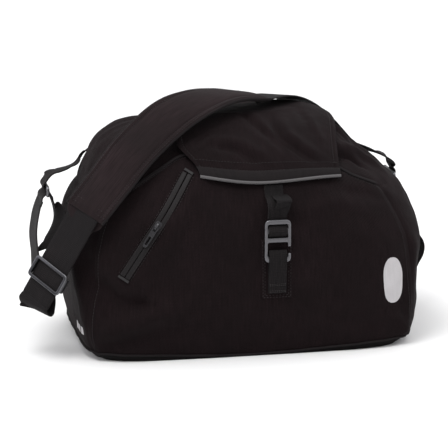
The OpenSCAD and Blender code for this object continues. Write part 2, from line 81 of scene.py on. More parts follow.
def ease(share: np.ndarray | float) -> np.ndarray:
    """Returns a smooth step from 0 to 1 as share goes from 0 to 1."""
    held = np.clip(share, 0.0, 1.0)
    return held * held * (3 - 2 * held)


def unit(vectors: np.ndarray) -> np.ndarray:
    """Returns the vectors at length one."""
    return vectors / np.maximum(np.linalg.norm(vectors, axis=-1, keepdims=True), 1e-9)


def along(stops: np.ndarray, turn: np.ndarray) -> np.ndarray:
    """Follows a smooth line through stops.

    Args:
        stops: The places to pass through, one a row.
        turn: Where on the line, 0 at the first stop and 1 more at each next one.

    Returns:
        The places on the line, one for each turn.
    """
    count = len(stops)
    first = np.clip(np.floor(turn).astype(int), 0, count - 2)
    rest = (np.asarray(turn) - first)[..., None]
    a, b, c, d = (stops[np.clip(first + k, 0, count - 1)] for k in (-1, 0, 1, 2))
    return 0.5 * (2 * b + (c - a) * rest + (2 * a - 5 * b + 4 * c - d) * rest**2
                  + (3 * b - a - 3 * c + d) * rest**3)


def smooth_line(stops: Sequence[Place], steps: int) -> np.ndarray:
    """Returns steps + 1 places on a smooth line through stops."""
    points = np.array(stops, float)
    return along(points, np.linspace(0, len(points) - 1, steps + 1))


def linear(hex_colour: str) -> tuple[float, float, float, float]:
    """Turns an sRGB hex colour to linear light.

    Args:
        hex_colour: A colour such as "#1f1b1c".

    Returns:
        Red, green, blue and a full alpha.
    """
    parts = [int(hex_colour[i:i + 2], 16) / 255 for i in (1, 3, 5)]
    lit = [p / 12.92 if p <= 0.04045 else ((p + 0.055) / 1.055) ** 2.4 for p in parts]
    return (lit[0], lit[1], lit[2], 1.0)


# ---------------------------------------------------------------- finishes


def add_node(tree: bpy.types.NodeTree, kind: str, feeds: dict | None = None,
             **settings: object) -> bpy.types.Node:
    """Adds a node to a material.

    Args:
        tree: The material's node tree.
        kind: Blender's name for the node.
        feeds: For each input, an output socket to link or a value to set.
        **settings: The node's own settings.

    Returns:
        The new node.
    """
    node = tree.nodes.new(kind)
    for key, value in settings.items():
        setattr(node, key, value)
    for key, value in (feeds or {}).items():
        if isinstance(value, bpy.types.NodeSocket):
            tree.links.new(value, node.inputs[key])
        else:
            node.inputs[key].default_value = value
    return node


def blank_material(name: str) -> tuple[bpy.types.Material, bpy.types.NodeTree, bpy.types.Node]:
    """Makes a material with only a surface shader.

    Args:
        name: The material's name.

    Returns:
        The material, its node tree and its shader.
    """
    material = bpy.data.materials.new(name)
    material.use_nodes = True
    tree = material.node_tree
    tree.nodes.clear()
    shader = tree.nodes.new("ShaderNodeBsdfPrincipled")
    out = tree.nodes.new("ShaderNodeOutputMaterial")
    tree.links.new(shader.outputs["BSDF"], out.inputs["Surface"])
    return material, tree, shader


class Weave(Enum):
    """How the threads of a cloth or tape cross."""

    PLAIN = "plain"
    RIBBED = "ribbed"
    HERRINGBONE = "herringbone"


@dataclass(frozen=True)
class WovenCloth:
    """A woven cloth or tape, whose threads show as colour and as relief."""

    name: str
    deep: str
    raised: str
    weave: Weave
    thread: float
    relief: float
    roughness: float
    sheen: float
    specular: float = 0.12
    crumple: float = 0.25

    def over(self, tree: bpy.types.NodeTree, threads: bpy.types.NodeSocket,
             pitch: float) -> bpy.types.NodeSocket | float:
        """Returns where the crosswise thread lies on top, from 0 to 1."""
        if self.weave is Weave.PLAIN:
            return add_node(tree, "ShaderNodeTexChecker", {
                "Vector": threads, "Scale": 1 / self.thread}).outputs["Fac"]
        if self.weave is Weave.HERRINGBONE:
            return add_node(tree, "ShaderNodeTexWave", {
                "Vector": threads, "Scale": pitch / 2.5, "Distortion": 0.2},
                bands_direction="DIAGONAL").outputs["Fac"]
        return 0.82

    def material(self) -> bpy.types.Material:
        """Returns the cloth as a material."""
        material, tree, shader = blank_material(self.name)
        threads = add_node(tree, "ShaderNodeAttribute", attribute_name=THREADS).outputs["Vector"]
        place = add_node(tree, "ShaderNodeTexCoord").outputs["Object"]
        # a wave texture repeats every 2 pi / 20 units at scale 1
        pitch = math.tau / 20 / self.thread
        warp = add_node(tree, "ShaderNodeTexWave", {
            "Vector": threads, "Scale": pitch, "Distortion": 0.7, "Detail": 1.0,
            "Detail Scale": 0.6}, bands_direction="X").outputs["Fac"]
        weft = add_node(tree, "ShaderNodeTexWave", {
            "Vector": threads, "Scale": pitch, "Distortion": 0.7, "Detail": 1.0,
            "Detail Scale": 0.6}, bands_direction="Y").outputs["Fac"]
        over = self.over(tree, threads, pitch)
        height = add_node(tree, "ShaderNodeMix", {0: over, 2: warp, 3: weft}).outputs[0]
        streaks = add_node(tree, "ShaderNodeVectorMath", {
            0: threads, 1: (0.45, 0.035, 1.0)}, operation="MULTIPLY").outputs[0]
        slub = add_node(tree, "ShaderNodeTexNoise", {
            "Vector": streaks, "Scale": 1.0, "Detail": 2.0}).outputs["Fac"]
        cloud = add_node(tree, "ShaderNodeTexNoise", {
            "Vector": place, "Scale": 16.0, "Detail": 3.0, "Roughness": 0.6}).outputs["Fac"]
        uneven = add_node(tree, "ShaderNodeMath", {0: slub, 1: cloud}, operation="MULTIPLY")
        lit = add_node(tree, "ShaderNodeMapRange", {
            "Value": uneven.outputs[0], "From Min": 0.1, "From Max": 0.42}).outputs[0]
        share = add_node(tree, "ShaderNodeMath", {
            0: height, 1: lit}, operation="MULTIPLY", use_clamp=True).outputs[0]
        colour = add_node(tree, "ShaderNodeMix", {
            0: share, 6: linear(self.deep), 7: linear(self.raised)}, data_type="RGBA").outputs[2]
        rough = add_node(tree, "ShaderNodeMapRange", {
            "Value": cloud, "From Min": 0.3, "From Max": 0.7,
            "To Min": self.roughness - 0.07, "To Max": self.roughness + 0.08}).outputs[0]
        creases = add_node(tree, "ShaderNodeTexNoise", {
            "Vector": place, "Scale": 55.0, "Detail": 4.0, "Roughness": 0.55}).outputs["Fac"]
        rumpled = add_node(tree, "ShaderNodeBump", {
            "Strength": 0.5, "Distance": self.crumple * 4 * MM, "Height": creases}).outputs[0]
        bump = add_node(tree, "ShaderNodeBump", {
            "Strength": 0.7, "Distance": self.relief * MM, "Height": height, "Normal": rumpled})
        tree.links.new(colour, shader.inputs["Base Color"])
        tree.links.new(rough, shader.inputs["Roughness"])
        tree.links.new(bump.outputs[0], shader.inputs["Normal"])
        shader.inputs["Sheen Weight"].default_value = self.sheen
        shader.inputs["Sheen Roughness"].default_value = 0.45
        shader.inputs["Specular IOR Level"].default_value = self.specular
        return material


@dataclass(frozen=True)
class Metal:
    """A metal, or a coat on metal, with a fine grain and rubbed edges."""

    name: str
    colour: str
    edge: str
    roughness: float
    grain: tuple[float, float, float]
    metallic: float = 1.0
    scratch: float = 0.02

    def material(self) -> bpy.types.Material:
        """Returns the metal as a material."""
        material, tree, shader = blank_material(self.name)
        place = add_node(tree, "ShaderNodeTexCoord").outputs["Object"]
        # grain holds the marks' size along each axis, so its inverse is the scale a metre
        stretched = add_node(tree, "ShaderNodeVectorMath", {
            0: place, 1: tuple(1 / (g * MM) for g in self.grain)}, operation="MULTIPLY").outputs[0]
        marks = add_node(tree, "ShaderNodeTexNoise", {
            "Vector": stretched, "Scale": 1.0, "Detail": 4.0, "Roughness": 0.6}).outputs["Fac"]
        rough = add_node(tree, "ShaderNodeMapRange", {
            "Value": marks, "From Min": 0.3, "From Max": 0.7,
            "To Min": self.roughness - 0.07, "To Max": self.roughness + 0.1}).outputs[0]
        point = add_node(tree, "ShaderNodeNewGeometry").outputs["Pointiness"]
        rubbed = add_node(tree, "ShaderNodeMapRange", {
            "Value": point, "From Min": 0.52, "From Max": 0.62}).outputs[0]
        colour = add_node(tree, "ShaderNodeMix", {
            0: rubbed, 6: linear(self.colour), 7: linear(self.edge)}, data_type="RGBA").outputs[2]
        bump = add_node(tree, "ShaderNodeBump", {
            "Strength": 0.4, "Distance": self.scratch * MM, "Height": marks})
        tree.links.new(colour, shader.inputs["Base Color"])
        tree.links.new(rough, shader.inputs["Roughness"])
        tree.links.new(bump.outputs[0], shader.inputs["Normal"])
        shader.inputs["Metallic"].default_value = self.metallic
        return material


@dataclass(frozen=True)
class Moulded:
    """A moulded, printed or foamed plastic with an even, finely pitted face."""

    name: str
    colour: str
    light: str
    roughness: float
    pit: float
    depth: float
    specular: float = 0.5

    def material(self) -> bpy.types.Material:
        """Returns the plastic as a material."""
        material, tree, shader = blank_material(self.name)
        place = add_node(tree, "ShaderNodeTexCoord").outputs["Object"]
        pits = add_node(tree, "ShaderNodeTexVoronoi", {
            "Vector": place, "Scale": 1 / (self.pit * MM)}).outputs["Distance"]
        cloud = add_node(tree, "ShaderNodeTexNoise", {
            "Vector": place, "Scale": 30.0, "Detail": 3.0}).outputs["Fac"]
        colour = add_node(tree, "ShaderNodeMix", {
            0: cloud, 6: linear(self.colour), 7: linear(self.light)}, data_type="RGBA").outputs[2]
        rough = add_node(tree, "ShaderNodeMapRange", {
            "Value": cloud, "From Min": 0.3, "From Max": 0.7,
            "To Min": self.roughness - 0.05, "To Max": self.roughness + 0.08}).outputs[0]
        bump = add_node(tree, "ShaderNodeBump", {
            "Strength": 0.5, "Distance": self.depth * MM, "Height": pits})
        tree.links.new(colour, shader.inputs["Base Color"])
        tree.links.new(rough, shader.inputs["Roughness"])
        tree.links.new(bump.outputs[0], shader.inputs["Normal"])
        shader.inputs["Specular IOR Level"].default_value = self.specular
        return material


class Finishes:
    """Every finish on the bag, made once."""

    def __init__(self) -> None:
        """Makes the materials."""
        # Polyester yarn is about 0.5 mm across, too fine to show, so it is drawn at 1.9 mm.
        # A plain weave in filament yarn gives a matt black with faint lit threads.
        self.canvas = WovenCloth("solution_dyed_polyester_canvas", "#110b0c", "#231a1c",
                                 Weave.PLAIN, 1.9, 0.4, 0.82, 0.02, 0.06).material()
        # The base cloth is the same canvas with a polyurethane back, a little slicker. Its colours are
        # painted darker than the canvas's, as painted shade on the underside and the band turned up to the
        # foot seam.
        self.base_canvas_painted_shade = WovenCloth("coated_polyester_canvas_painted_shade", "#0d0b0b", "#191617",
                                      Weave.PLAIN, 1.9, 0.2, 0.72, 0.01, 0.08).material()
        # Pad cloth has a close rib, 0.7 mm drawn at 1.7 mm. Its colours are painted lighter than the
        # canvas's, as painted top light on the pad's upward face.
        self.pad_cloth = WovenCloth("ribbed_polyester_pad_cloth", "#171112", "#2f2527",
                                    Weave.RIBBED, 1.7, 0.25, 0.82, 0.03, 0.08).material()
        # Nylon webbing has picks about 1.2 mm apart, drawn at 2.2 mm, and a soft sheen.
        self.webbing = WovenCloth("woven_nylon_webbing", "#0f0d0e", "#231f20",
                                  Weave.HERRINGBONE, 2.2, 0.4, 0.74, 0.02, 0.1, 0.1).material()
        # Grosgrain tape: ribs across it 0.8 mm apart, drawn at 1.5 mm. It is coloured brighter than canvas,
        # partly its own tone and partly painted highlight for the bright lines along bound edges and piping.
        self.tape = WovenCloth("polyester_grosgrain_tape", "#131011", "#272223",
                               Weave.RIBBED, 1.5, 0.25, 0.74, 0.02, 0.1, 0.08).material()
        # Piping covered in a tape with glass beads in it: light grey with an even glow.
        self.piping = WovenCloth("beaded_reflective_tape", "#4c4a4b", "#5f5d5e",
                                 Weave.PLAIN, 1.2, 0.06, 0.5, 0.0, 0.25, 0.05).material()
        # Zip tape with a polyurethane film: smooth, its knit only just visible.
        self.zip_tape = WovenCloth("film_coated_zip_tape", "#121011", "#1f1b1c",
                                   Weave.RIBBED, 1.4, 0.05, 0.55, 0.02, 0.16, 0.05).material()
        # Bonded polyester thread, 0.5 mm across: twisted, so it shines more than the cloth.
        self.thread = WovenCloth("bonded_polyester_thread", "#1c1819", "#302b2c",
                                 Weave.RIBBED, 0.8, 0.08, 0.5, 0.04, 0.25, 0.02).material()
        # Thin coated taffeta inside the bag: grey, smooth and slightly shiny.
        self.lining = WovenCloth("coated_nylon_taffeta", "#39373b", "#4b494d",
                                 Weave.PLAIN, 1.2, 0.05, 0.55, 0.05, 0.45, 0.5).material()
        # Red nylon tape for the tie loops: a bright colour to find inside a dark bag.
        self.red_webbing = WovenCloth("red_nylon_webbing", "#8f1d17", "#c53229",
                                      Weave.HERRINGBONE, 2.0, 0.25, 0.6, 0.2, 0.4, 0.1).material()
        # Anodised aluminium, tumbled first: an even mid grey with a soft, broad shine.
        self.hook_metal = Metal("anodised_aluminium", "#626164", "#8f8e93", 0.42,
                                (1.5, 1.5, 1.5)).material()
        # Satin-plated steel: drawn wire with fine lines along it and bright worn edges.
        self.strap_metal = Metal("satin_plated_steel", "#3c3c3f", "#a6a6aa", 0.3,
                                 (6.0, 0.8, 0.8)).material()
        # Die-cast zinc with a black lacquer: semi-gloss, lighter where the lacquer is rubbed.
        self.zip_metal = Metal("lacquered_zinc", "#242326", "#59585b", 0.38,
                               (2.0, 2.0, 2.0), 0.5).material()
        # Nylon coil and moulded stops: plain dark plastic, slightly glossy.
        self.zip_plastic = Moulded("moulded_nylon", "#131213", "#1c1a1b", 0.45, 1.2, 0.03).material()
        # Closed-cell polyethylene foam: 1.6 mm cells give a soft grey, broken face.
        self.foam = Moulded("closed_cell_foam", "#3a393c", "#4a494c", 0.85, 1.6, 0.3, 0.3).material()
        # Transfer film pressed on the canvas: pale grey, satin, with the yarn just felt.
        self.film = WovenCloth("pressed_transfer_film", "#aeabad", "#c2bfc1",
                               Weave.PLAIN, 1.9, 0.06, 0.5, 0.0, 0.5, 0.1).material()


# ---------------------------------------------------------------- shapes


@dataclass
class Shape:
    """Faces between places, with the thread directions' lengths at each place."""

    points: np.ndarray
    faces: list[list[int]]
    threads: np.ndarray

    @staticmethod
    def joined(shapes: "Sequence[Shape]") -> "Shape":
        """Returns several shapes as one."""
        faces: list[list[int]] = []
        start = 0
        for shape in shapes:
            faces += [[start + k for k in face] for face in shape.faces]
            start += len(shape.points)
        return Shape(np.concatenate([s.points for s in shapes]), faces,
                     np.concatenate([s.threads for s in shapes]))


def grid_faces(rows: int, cols: int, start: int = 0, wrap: bool = False) -> list[list[int]]:
    """Returns the four-sided faces of a grid of rows by cols places."""
    i, j = np.meshgrid(np.arange(rows - 1), np.arange(cols if wrap else cols - 1), indexing="ij")
    k = (j + 1) % cols
    quads = np.stack([i * cols + j, i * cols + k, (i + 1) * cols + k, (i + 1) * cols + j], -1)
    return (quads.reshape(-1, 4) + start).tolist()


def grid_normals(grid: np.ndarray, wrap: bool) -> np.ndarray:
    """Returns the way that a grid of places faces, at each place."""
    if wrap:
        across = np.roll(grid, -1, 1) - np.roll(grid, 1, 1)
    else:
        across = np.gradient(grid, axis=1)
    return unit(np.cross(across, np.gradient(grid, axis=0)))


def grid_threads(grid: np.ndarray) -> np.ndarray:
    """Returns how far each place of a grid lies along and across the cloth."""
    rows, cols = grid.shape[:2]
    steps_u = np.linalg.norm(np.diff(grid[rows // 2], axis=0), axis=1)
    steps_v = np.linalg.norm(np.diff(grid[:, cols // 2], axis=0), axis=1)
    u = np.concatenate([[0], np.cumsum(steps_u)])
    v = np.concatenate([[0], np.cumsum(steps_v)])
    uu, vv = np.meshgrid(u, v)
    return np.stack([uu, vv, np.zeros_like(uu)], -1)


def thick_cloth(grid: np.ndarray, thick: float, wrap: bool = False) -> Shape:
    """Gives a grid of places the thickness of cloth, on its inner side.

    Args:
        grid: The outer face, rows going up and columns going right as seen from outside.
        thick: The cloth's thickness.
        wrap: Whether the last column joins the first.

    Returns:
        A closed shape.
    """
    rows, cols = grid.shape[:2]
    inner = grid - grid_normals(grid, wrap) * thick
    size = rows * cols
    faces = grid_faces(rows, cols, 0, wrap)
    faces += [face[::-1] for face in grid_faces(rows, cols, size, wrap)]
    spans = cols if wrap else cols - 1
    last = (rows - 1) * cols
    for j in range(spans):
        k = (j + 1) % cols
        faces.append([j, j + size, k + size, k])
        faces.append([last + j, last + k, last + k + size, last + j + size])
    if not wrap:
        for i in range(rows - 1):
            a, b = i * cols, (i + 1) * cols
            faces.append([a, b, b + size, a + size])
            faces.append([a + cols - 1, a + cols - 1 + size, b + cols - 1 + size, b + cols - 1])
    threads = grid_threads(grid).reshape(-1, 3)
    return Shape(np.concatenate([grid.reshape(-1, 3), inner.reshape(-1, 3)]), faces,
                 np.concatenate([threads, threads]))


def sweep(stops: Sequence[Place], across: Sequence[Place], profile: np.ndarray,
          steps: int, swell: Callable[[np.ndarray], np.ndarray] | None = None) -> Shape:
    """Draws a closed outline along a line, as webbing, binding or a pad.

    Args:
        stops: The places the line passes through.
        across: At each stop, the direction across the band.
        profile: The outline, as (side, lift) pairs in order round it.
        steps: The number of steps along the line.
        swell: Given the share of the way along, how much to scale the lift.

    Returns:
        A closed shape with capped ends.
    """
    places = np.array(stops, float)
    turns = np.linspace(0, len(places) - 1, steps + 1)
    centre = along(places, turns)
    heading = unit(along(places, np.minimum(turns + 0.05, len(places) - 1))
                   - along(places, np.maximum(turns - 0.05, 0)))
    side = along(np.array(across, float), turns)
    side = unit(side - (side * heading).sum(1, keepdims=True) * heading)
    face = np.cross(side, heading)
    scale = np.ones(steps + 1) if swell is None else swell(turns / (len(places) - 1))
    rings = (centre[:, None] + side[:, None] * profile[None, :, :1]
             + face[:, None] * profile[None, :, 1:] * scale[:, None, None])
    count = len(profile)
    faces = grid_faces(steps + 1, count, 0, True)
    faces.append(list(range(count)))
    faces.append([steps * count + k for k in range(count)][::-1])
    run = np.concatenate([[0], np.cumsum(np.linalg.norm(np.diff(centre, axis=0), axis=1))])
    around = np.concatenate([[0], np.cumsum(np.linalg.norm(np.diff(profile, axis=0), axis=1))])
    vv, uu = np.meshgrid(run, around, indexing="ij")
    threads = np.stack([uu, vv, np.zeros_like(uu)], -1)
    return Shape(rings.reshape(-1, 3), faces, threads.reshape(-1, 3))


def tape_profile(wide: float, thick: float, crown: float = 0.0) -> np.ndarray:
    """Returns the outline of a woven band with rounded edges.

    Args:
        wide: The band's width.
        thick: The band's thickness.
        crown: How much thicker the middle is than the edges.

    Returns:
        (side, lift) pairs in order round the outline.
    """
    half, lift = wide / 2, thick / 2
    sides = np.linspace(-half + lift, half - lift, 9)
    top = lift + crown * (1 - (sides / half) ** 2)
    upper = list(zip(sides, top))
    lower = [(s, -t) for s, t in upper[::-1]]
    edge = lift * 0.75
    return np.array([*upper, (half - edge * 0.3, lift * 0.7), (half, 0), (half - edge * 0.3, -lift * 0.7),
                     *lower, (-half + edge * 0.3, -lift * 0.7), (-half, 0), (-half + edge * 0.3, lift * 0.7)])


def round_profile(wide: float, tall: float, sides: int = 10) -> np.ndarray:
    """Returns an oval outline."""
    turn = np.linspace(0, math.tau, sides, endpoint=False)
    return np.stack([np.cos(turn) * wide / 2, -np.sin(turn) * tall / 2], 1)


def rod(path: np.ndarray, radius: float | np.ndarray, sides: int = 10, loop: bool = False) -> Shape:
    """Draws a round rod or piping along a path.

    Args:
        path: The places along the middle.
        radius: Its radius, the same all along or one at each place.
        sides: The number of sides.
        loop: Whether the last place joins the first.

    Returns:
        A closed shape.
    """
    count = len(path)
    if loop:
        heading = unit(np.roll(path, -1, 0) - np.roll(path, 1, 0))
    else:
        heading = unit(np.gradient(path, axis=0))
    upright = np.where(np.abs(heading[:, 2:]) > 0.9, np.array([[1.0, 0, 0]]), np.array([[0, 0, 1.0]]))
    side = unit(np.cross(heading, upright))
    lift = np.cross(side, heading)
    turn = np.linspace(0, math.tau, sides, endpoint=False)
    reach = np.broadcast_to(np.asarray(radius, float), (count,))[:, None, None]
    rings = path[:, None] + reach * (np.cos(turn)[None, :, None] * side[:, None]
                                     + np.sin(turn)[None, :, None] * lift[:, None])
    faces = grid_faces(count, sides, 0, True)
    if loop:
        faces += [[(count - 1) * sides + k, (count - 1) * sides + (k + 1) % sides,
                   (k + 1) % sides, k] for k in range(sides)]
    else:
        faces.append(list(range(sides)))
        faces.append([(count - 1) * sides + k for k in range(sides)][::-1])
    run = np.concatenate([[0], np.cumsum(np.linalg.norm(np.diff(path, axis=0), axis=1))])
    vv, uu = np.meshgrid(run, turn * float(np.mean(reach)), indexing="ij")
    return Shape(rings.reshape(-1, 3), faces,
                 np.stack([uu, vv, np.zeros_like(uu)], -1).reshape(-1, 3))


def stitch_row(path: np.ndarray, facing: np.ndarray | Place, stitch: float = 2.8,
               gap: float = 1.3, radius: float = 0.42) -> Shape:
    """Sews a row of stitches along a path, each a small thread bowed into the cloth.

    Args:
        path: Places along the seam, on the cloth's face.
        facing: The way that the cloth faces, at each place or one for all.
        stitch: The length of a stitch.
        gap: The gap to the next one.
        radius: The thread's radius.

    Returns:
        All the stitches as one shape.
    """
    steps = np.linalg.norm(np.diff(path, axis=0), axis=1)
    run = np.concatenate([[0], np.cumsum(steps)])
    count = max(int(run[-1] / (stitch + gap)), 1)
    mids = (np.arange(count) + 0.5) * run[-1] / count
    facings = np.broadcast_to(np.array(facing, float), path.shape)
    at = np.stack([np.interp(mids, run, path[:, k]) for k in range(3)], 1)
    face = unit(np.stack([np.interp(mids, run, facings[:, k]) for k in range(3)], 1))
    ahead = np.stack([np.interp(mids + 0.5, run, path[:, k]) for k in range(3)], 1)
    behind = np.stack([np.interp(mids - 0.5, run, path[:, k]) for k in range(3)], 1)
    heading = unit(ahead - behind)
    side = np.cross(heading, face)
    # (along, side, lift) of one stitch, its ends sunk in the cloth
    long, mid = stitch / 2, stitch * 0.3
    form = np.array([(-long, 0, -0.4)]
                    + [(e * mid, radius * c, radius * (0.5 + s)) for e in (-1, 1)
                       for c, s in ((1, 0), (0, 1), (-1, 0), (0, -1))] + [(long, 0, -0.4)])
    points = (at[:, None] + heading[:, None] * form[None, :, :1] + side[:, None] * form[None, :, 1:2]
              + face[:, None] * form[None, :, 2:])
    one = [[0, 1 + k, 1 + (k + 1) % 4] for k in range(4)]
    one += [[1 + k, 5 + k, 5 + (k + 1) % 4, 1 + (k + 1) % 4] for k in range(4)]
    one += [[9, 5 + (k + 1) % 4, 5 + k] for k in range(4)]
    faces = [[10 * n + k for k in face_] for n in range(count) for face_ in one]
    flat = points.reshape(-1, 3)
    return Shape(flat, faces, flat.copy())


def round_corners(corners: Sequence[tuple[float, float, float]], per: int = 6) -> np.ndarray:
    """Rounds the corners of an outline.

    Args:
        corners: (x, y, radius) of each corner, in order.
        per: The number of places along each rounded corner.

    Returns:
        The outline's places.
    """
    found: list[np.ndarray] = []
    count = len(corners)
    for k in range(count):
        at = np.array(corners[k][:2])
        before = np.array(corners[k - 1][:2]) - at
        after = np.array(corners[(k + 1) % count][:2]) - at
        reach = min(corners[k][2], np.linalg.norm(before) * 0.49, np.linalg.norm(after) * 0.49)
        start, end = at + unit(before) * reach, at + unit(after) * reach
        for t in np.linspace(0, 1, per):
            found.append((1 - t) ** 2 * start + 2 * t * (1 - t) * at * 0.85
                         + 2 * t * (1 - t) * 0.15 * (start + end) / 2 + t * t * end)
    return np.array(found)


def box_corners(wide: float, tall: float, radius: float,
                at: tuple[float, float] = (0.0, 0.0)) -> np.ndarray:
    """Returns a rounded rectangle's outline about a middle."""
    x, y = wide / 2, tall / 2
    return round_corners([(at[0] + a, at[1] + b, radius) for a, b in ((-x, -y), (x, -y), (x, y), (-x, y))])


@dataclass(frozen=True)
class Axes:
    """A place with the directions right, up and outward of a flat part that sits there."""

    at: Place
    right: Place
    up: Place
    out: Place

    def placed(self, local: np.ndarray) -> np.ndarray:
        """Returns local places, (right, up, out), in the bag's own directions."""
        turn = np.stack([np.array(self.right, float), np.array(self.up, float), np.array(self.out, float)])
        return np.asarray(local, float) @ turn + np.array(self.at, float)


def plate(outlines: Sequence[np.ndarray], thick: float, bevel: float, axes: Axes,
          lift: float = 0.0) -> Shape:
    """Makes a flat plate with holes and rounded edges.

    Args:
        outlines: The outer outline, then the holes.
        thick: The plate's thickness.
        bevel: The radius along its edges.
        axes: Where it sits.
        lift: How far out its middle is from there.

    Returns:
        A closed shape.
    """
    curve = bpy.data.curves.new("plate", "CURVE")
    curve.dimensions = "2D"
    curve.fill_mode = "BOTH"
    curve.extrude = max(thick / 2 - bevel, 0.01)
    curve.bevel_depth = bevel
    curve.bevel_resolution = 2
    curve.offset = -bevel
    for outline in outlines:
        spline = curve.splines.new("POLY")
        spline.points.add(len(outline) - 1)
        for point, place in zip(spline.points, outline):
            point.co = (place[0], place[1], 0, 1)
        spline.use_cyclic_u = True
    holder = bpy.data.objects.new("plate", curve)
    mesh = holder.to_mesh()
    local = np.array([tuple(v.co) for v in mesh.vertices], float)
    faces = [list(p.vertices) for p in mesh.polygons]
    holder.to_mesh_clear()
    bpy.data.objects.remove(holder)
    bpy.data.curves.remove(curve)
    local[:, 2] += lift
    return Shape(axes.placed(local), faces, local)


def add_piece(name: str, shape: Shape, material: bpy.types.Material, body: str | None,
              replaces: Sequence[str] = (), sharp: float = 50.0) -> bpy.types.Object:
    """Makes a shape into a named piece of the bag.

    Args:
        name: The piece's name.
        shape: Its form, in millimetres.
        material: Its finish.
        body: The body it moves with, or None to leave it unattached.
        replaces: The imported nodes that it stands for.
        sharp: The angle above which an edge shades as sharp, in degrees.

    Returns:
        The new object.
    """
    mesh = bpy.data.meshes.new(name)
    mesh.from_pydata((shape.points * MM).tolist(), [], shape.faces)
    threads = mesh.attributes.new(THREADS, "FLOAT_VECTOR", "POINT")
    threads.data.foreach_set("vector", shape.threads.astype(np.float32).ravel())
    work = bmesh.new()
    work.from_mesh(mesh)
    bmesh.ops.remove_doubles(work, verts=work.verts, dist=1e-6)
    bmesh.ops.recalc_face_normals(work, faces=work.faces)
    work.to_mesh(mesh)
    work.free()
    mesh.shade_smooth()
    mesh.set_sharp_from_angle(angle=math.radians(sharp))
    mesh.materials.append(material)
    piece = bpy.data.objects.new(name, mesh)
    bpy.context.scene.collection.objects.link(piece)
    if body:
        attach(piece, body)
    if replaces:
        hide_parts(*replaces)
    log.info("%s: %d faces", name, len(mesh.polygons))
    return piece


# ---------------------------------------------------------------- the bag's form


@dataclass(frozen=True)
class Fold:
    """A ridge, or a valley where rise is below zero, along a line on the cloth."""

    line: tuple[Place, ...]
    wide: float
    rise: float

    def lift(self, places: np.ndarray) -> np.ndarray:
        """Returns how far the fold lifts the cloth at each place."""
        path = smooth_line(self.line, 5 * (len(self.line) - 1))
        best = np.full(places.shape[:-1], 1e9)
        share = np.zeros(places.shape[:-1])
        spans = len(path) - 1
        for k in range(spans):
            leg = path[k + 1] - path[k]
            t = np.clip(((places - path[k]) @ leg) / (leg @ leg), 0, 1)
            gap = np.linalg.norm(places - path[k] - t[..., None] * leg, axis=-1)
            near = gap < best
            best = np.where(near, gap, best)
            share = np.where(near, (k + t) / spans, share)
        fade = ease(share / 0.25) * ease((1 - share) / 0.25)
        return self.rise * np.exp(-(best / self.wide) ** 2) * (0.25 + 0.75 * fade)


@dataclass(frozen=True)
class Ripple:
    """Slack in the cloth: low waves in mixed directions, the same on every run."""

    height: float
    longest: float
    shortest: float
    seed: int
    waves: int = 14

    def lift(self, places: np.ndarray) -> np.ndarray:
        """Returns how far the slack lifts the cloth at each place."""
        draw = np.random.default_rng(self.seed)
        total = np.zeros(places.shape[:-1])
        for _ in range(self.waves):
            length = draw.uniform(self.shortest, self.longest)
            way = unit(draw.normal(size=3))
            phase = draw.uniform(0, math.tau)
            bent = places @ way + 0.18 * length * np.sin(places @ way[[1, 2, 0]] / length * 5 + phase)
            total += np.sin(bent / length * math.tau + phase) * length / self.longest
        return self.height * total / math.sqrt(self.waves)


SECTIONS = np.array([
    # height, left, right, front and back reach as shares, squareness, set-back in mm
    [0, 0.87, 0.9, 0.93, 0.91, 6, 0],
    [0.054, 0.925, 0.966, 0.95, 0.94, 7, 0],
    [0.151, 0.95, 0.992, 0.979, 0.965, 6, 0],
    [0.302, 0.966, 1.013, 1.007, 0.993, 4.8, 0],
    [0.487, 0.975, 1.034, 0.993, 0.993, 4, 0],
    [0.621, 0.945, 0.985, 0.955, 0.955, 3.4, 2],
    [0.722, 0.89, 0.915, 0.9, 0.88, 3, 5],
    [0.822, 0.84, 0.735, 0.81, 0.76, 2.7, 10],
    [0.906, 0.77, 0.635, 0.7, 0.62, 2.5, 17],
    [0.963, 0.66, 0.55, 0.55, 0.5, 2.3, 23],
    [1, 0.45, 0.42, 0.36, 0.31, 2.1, 26]])


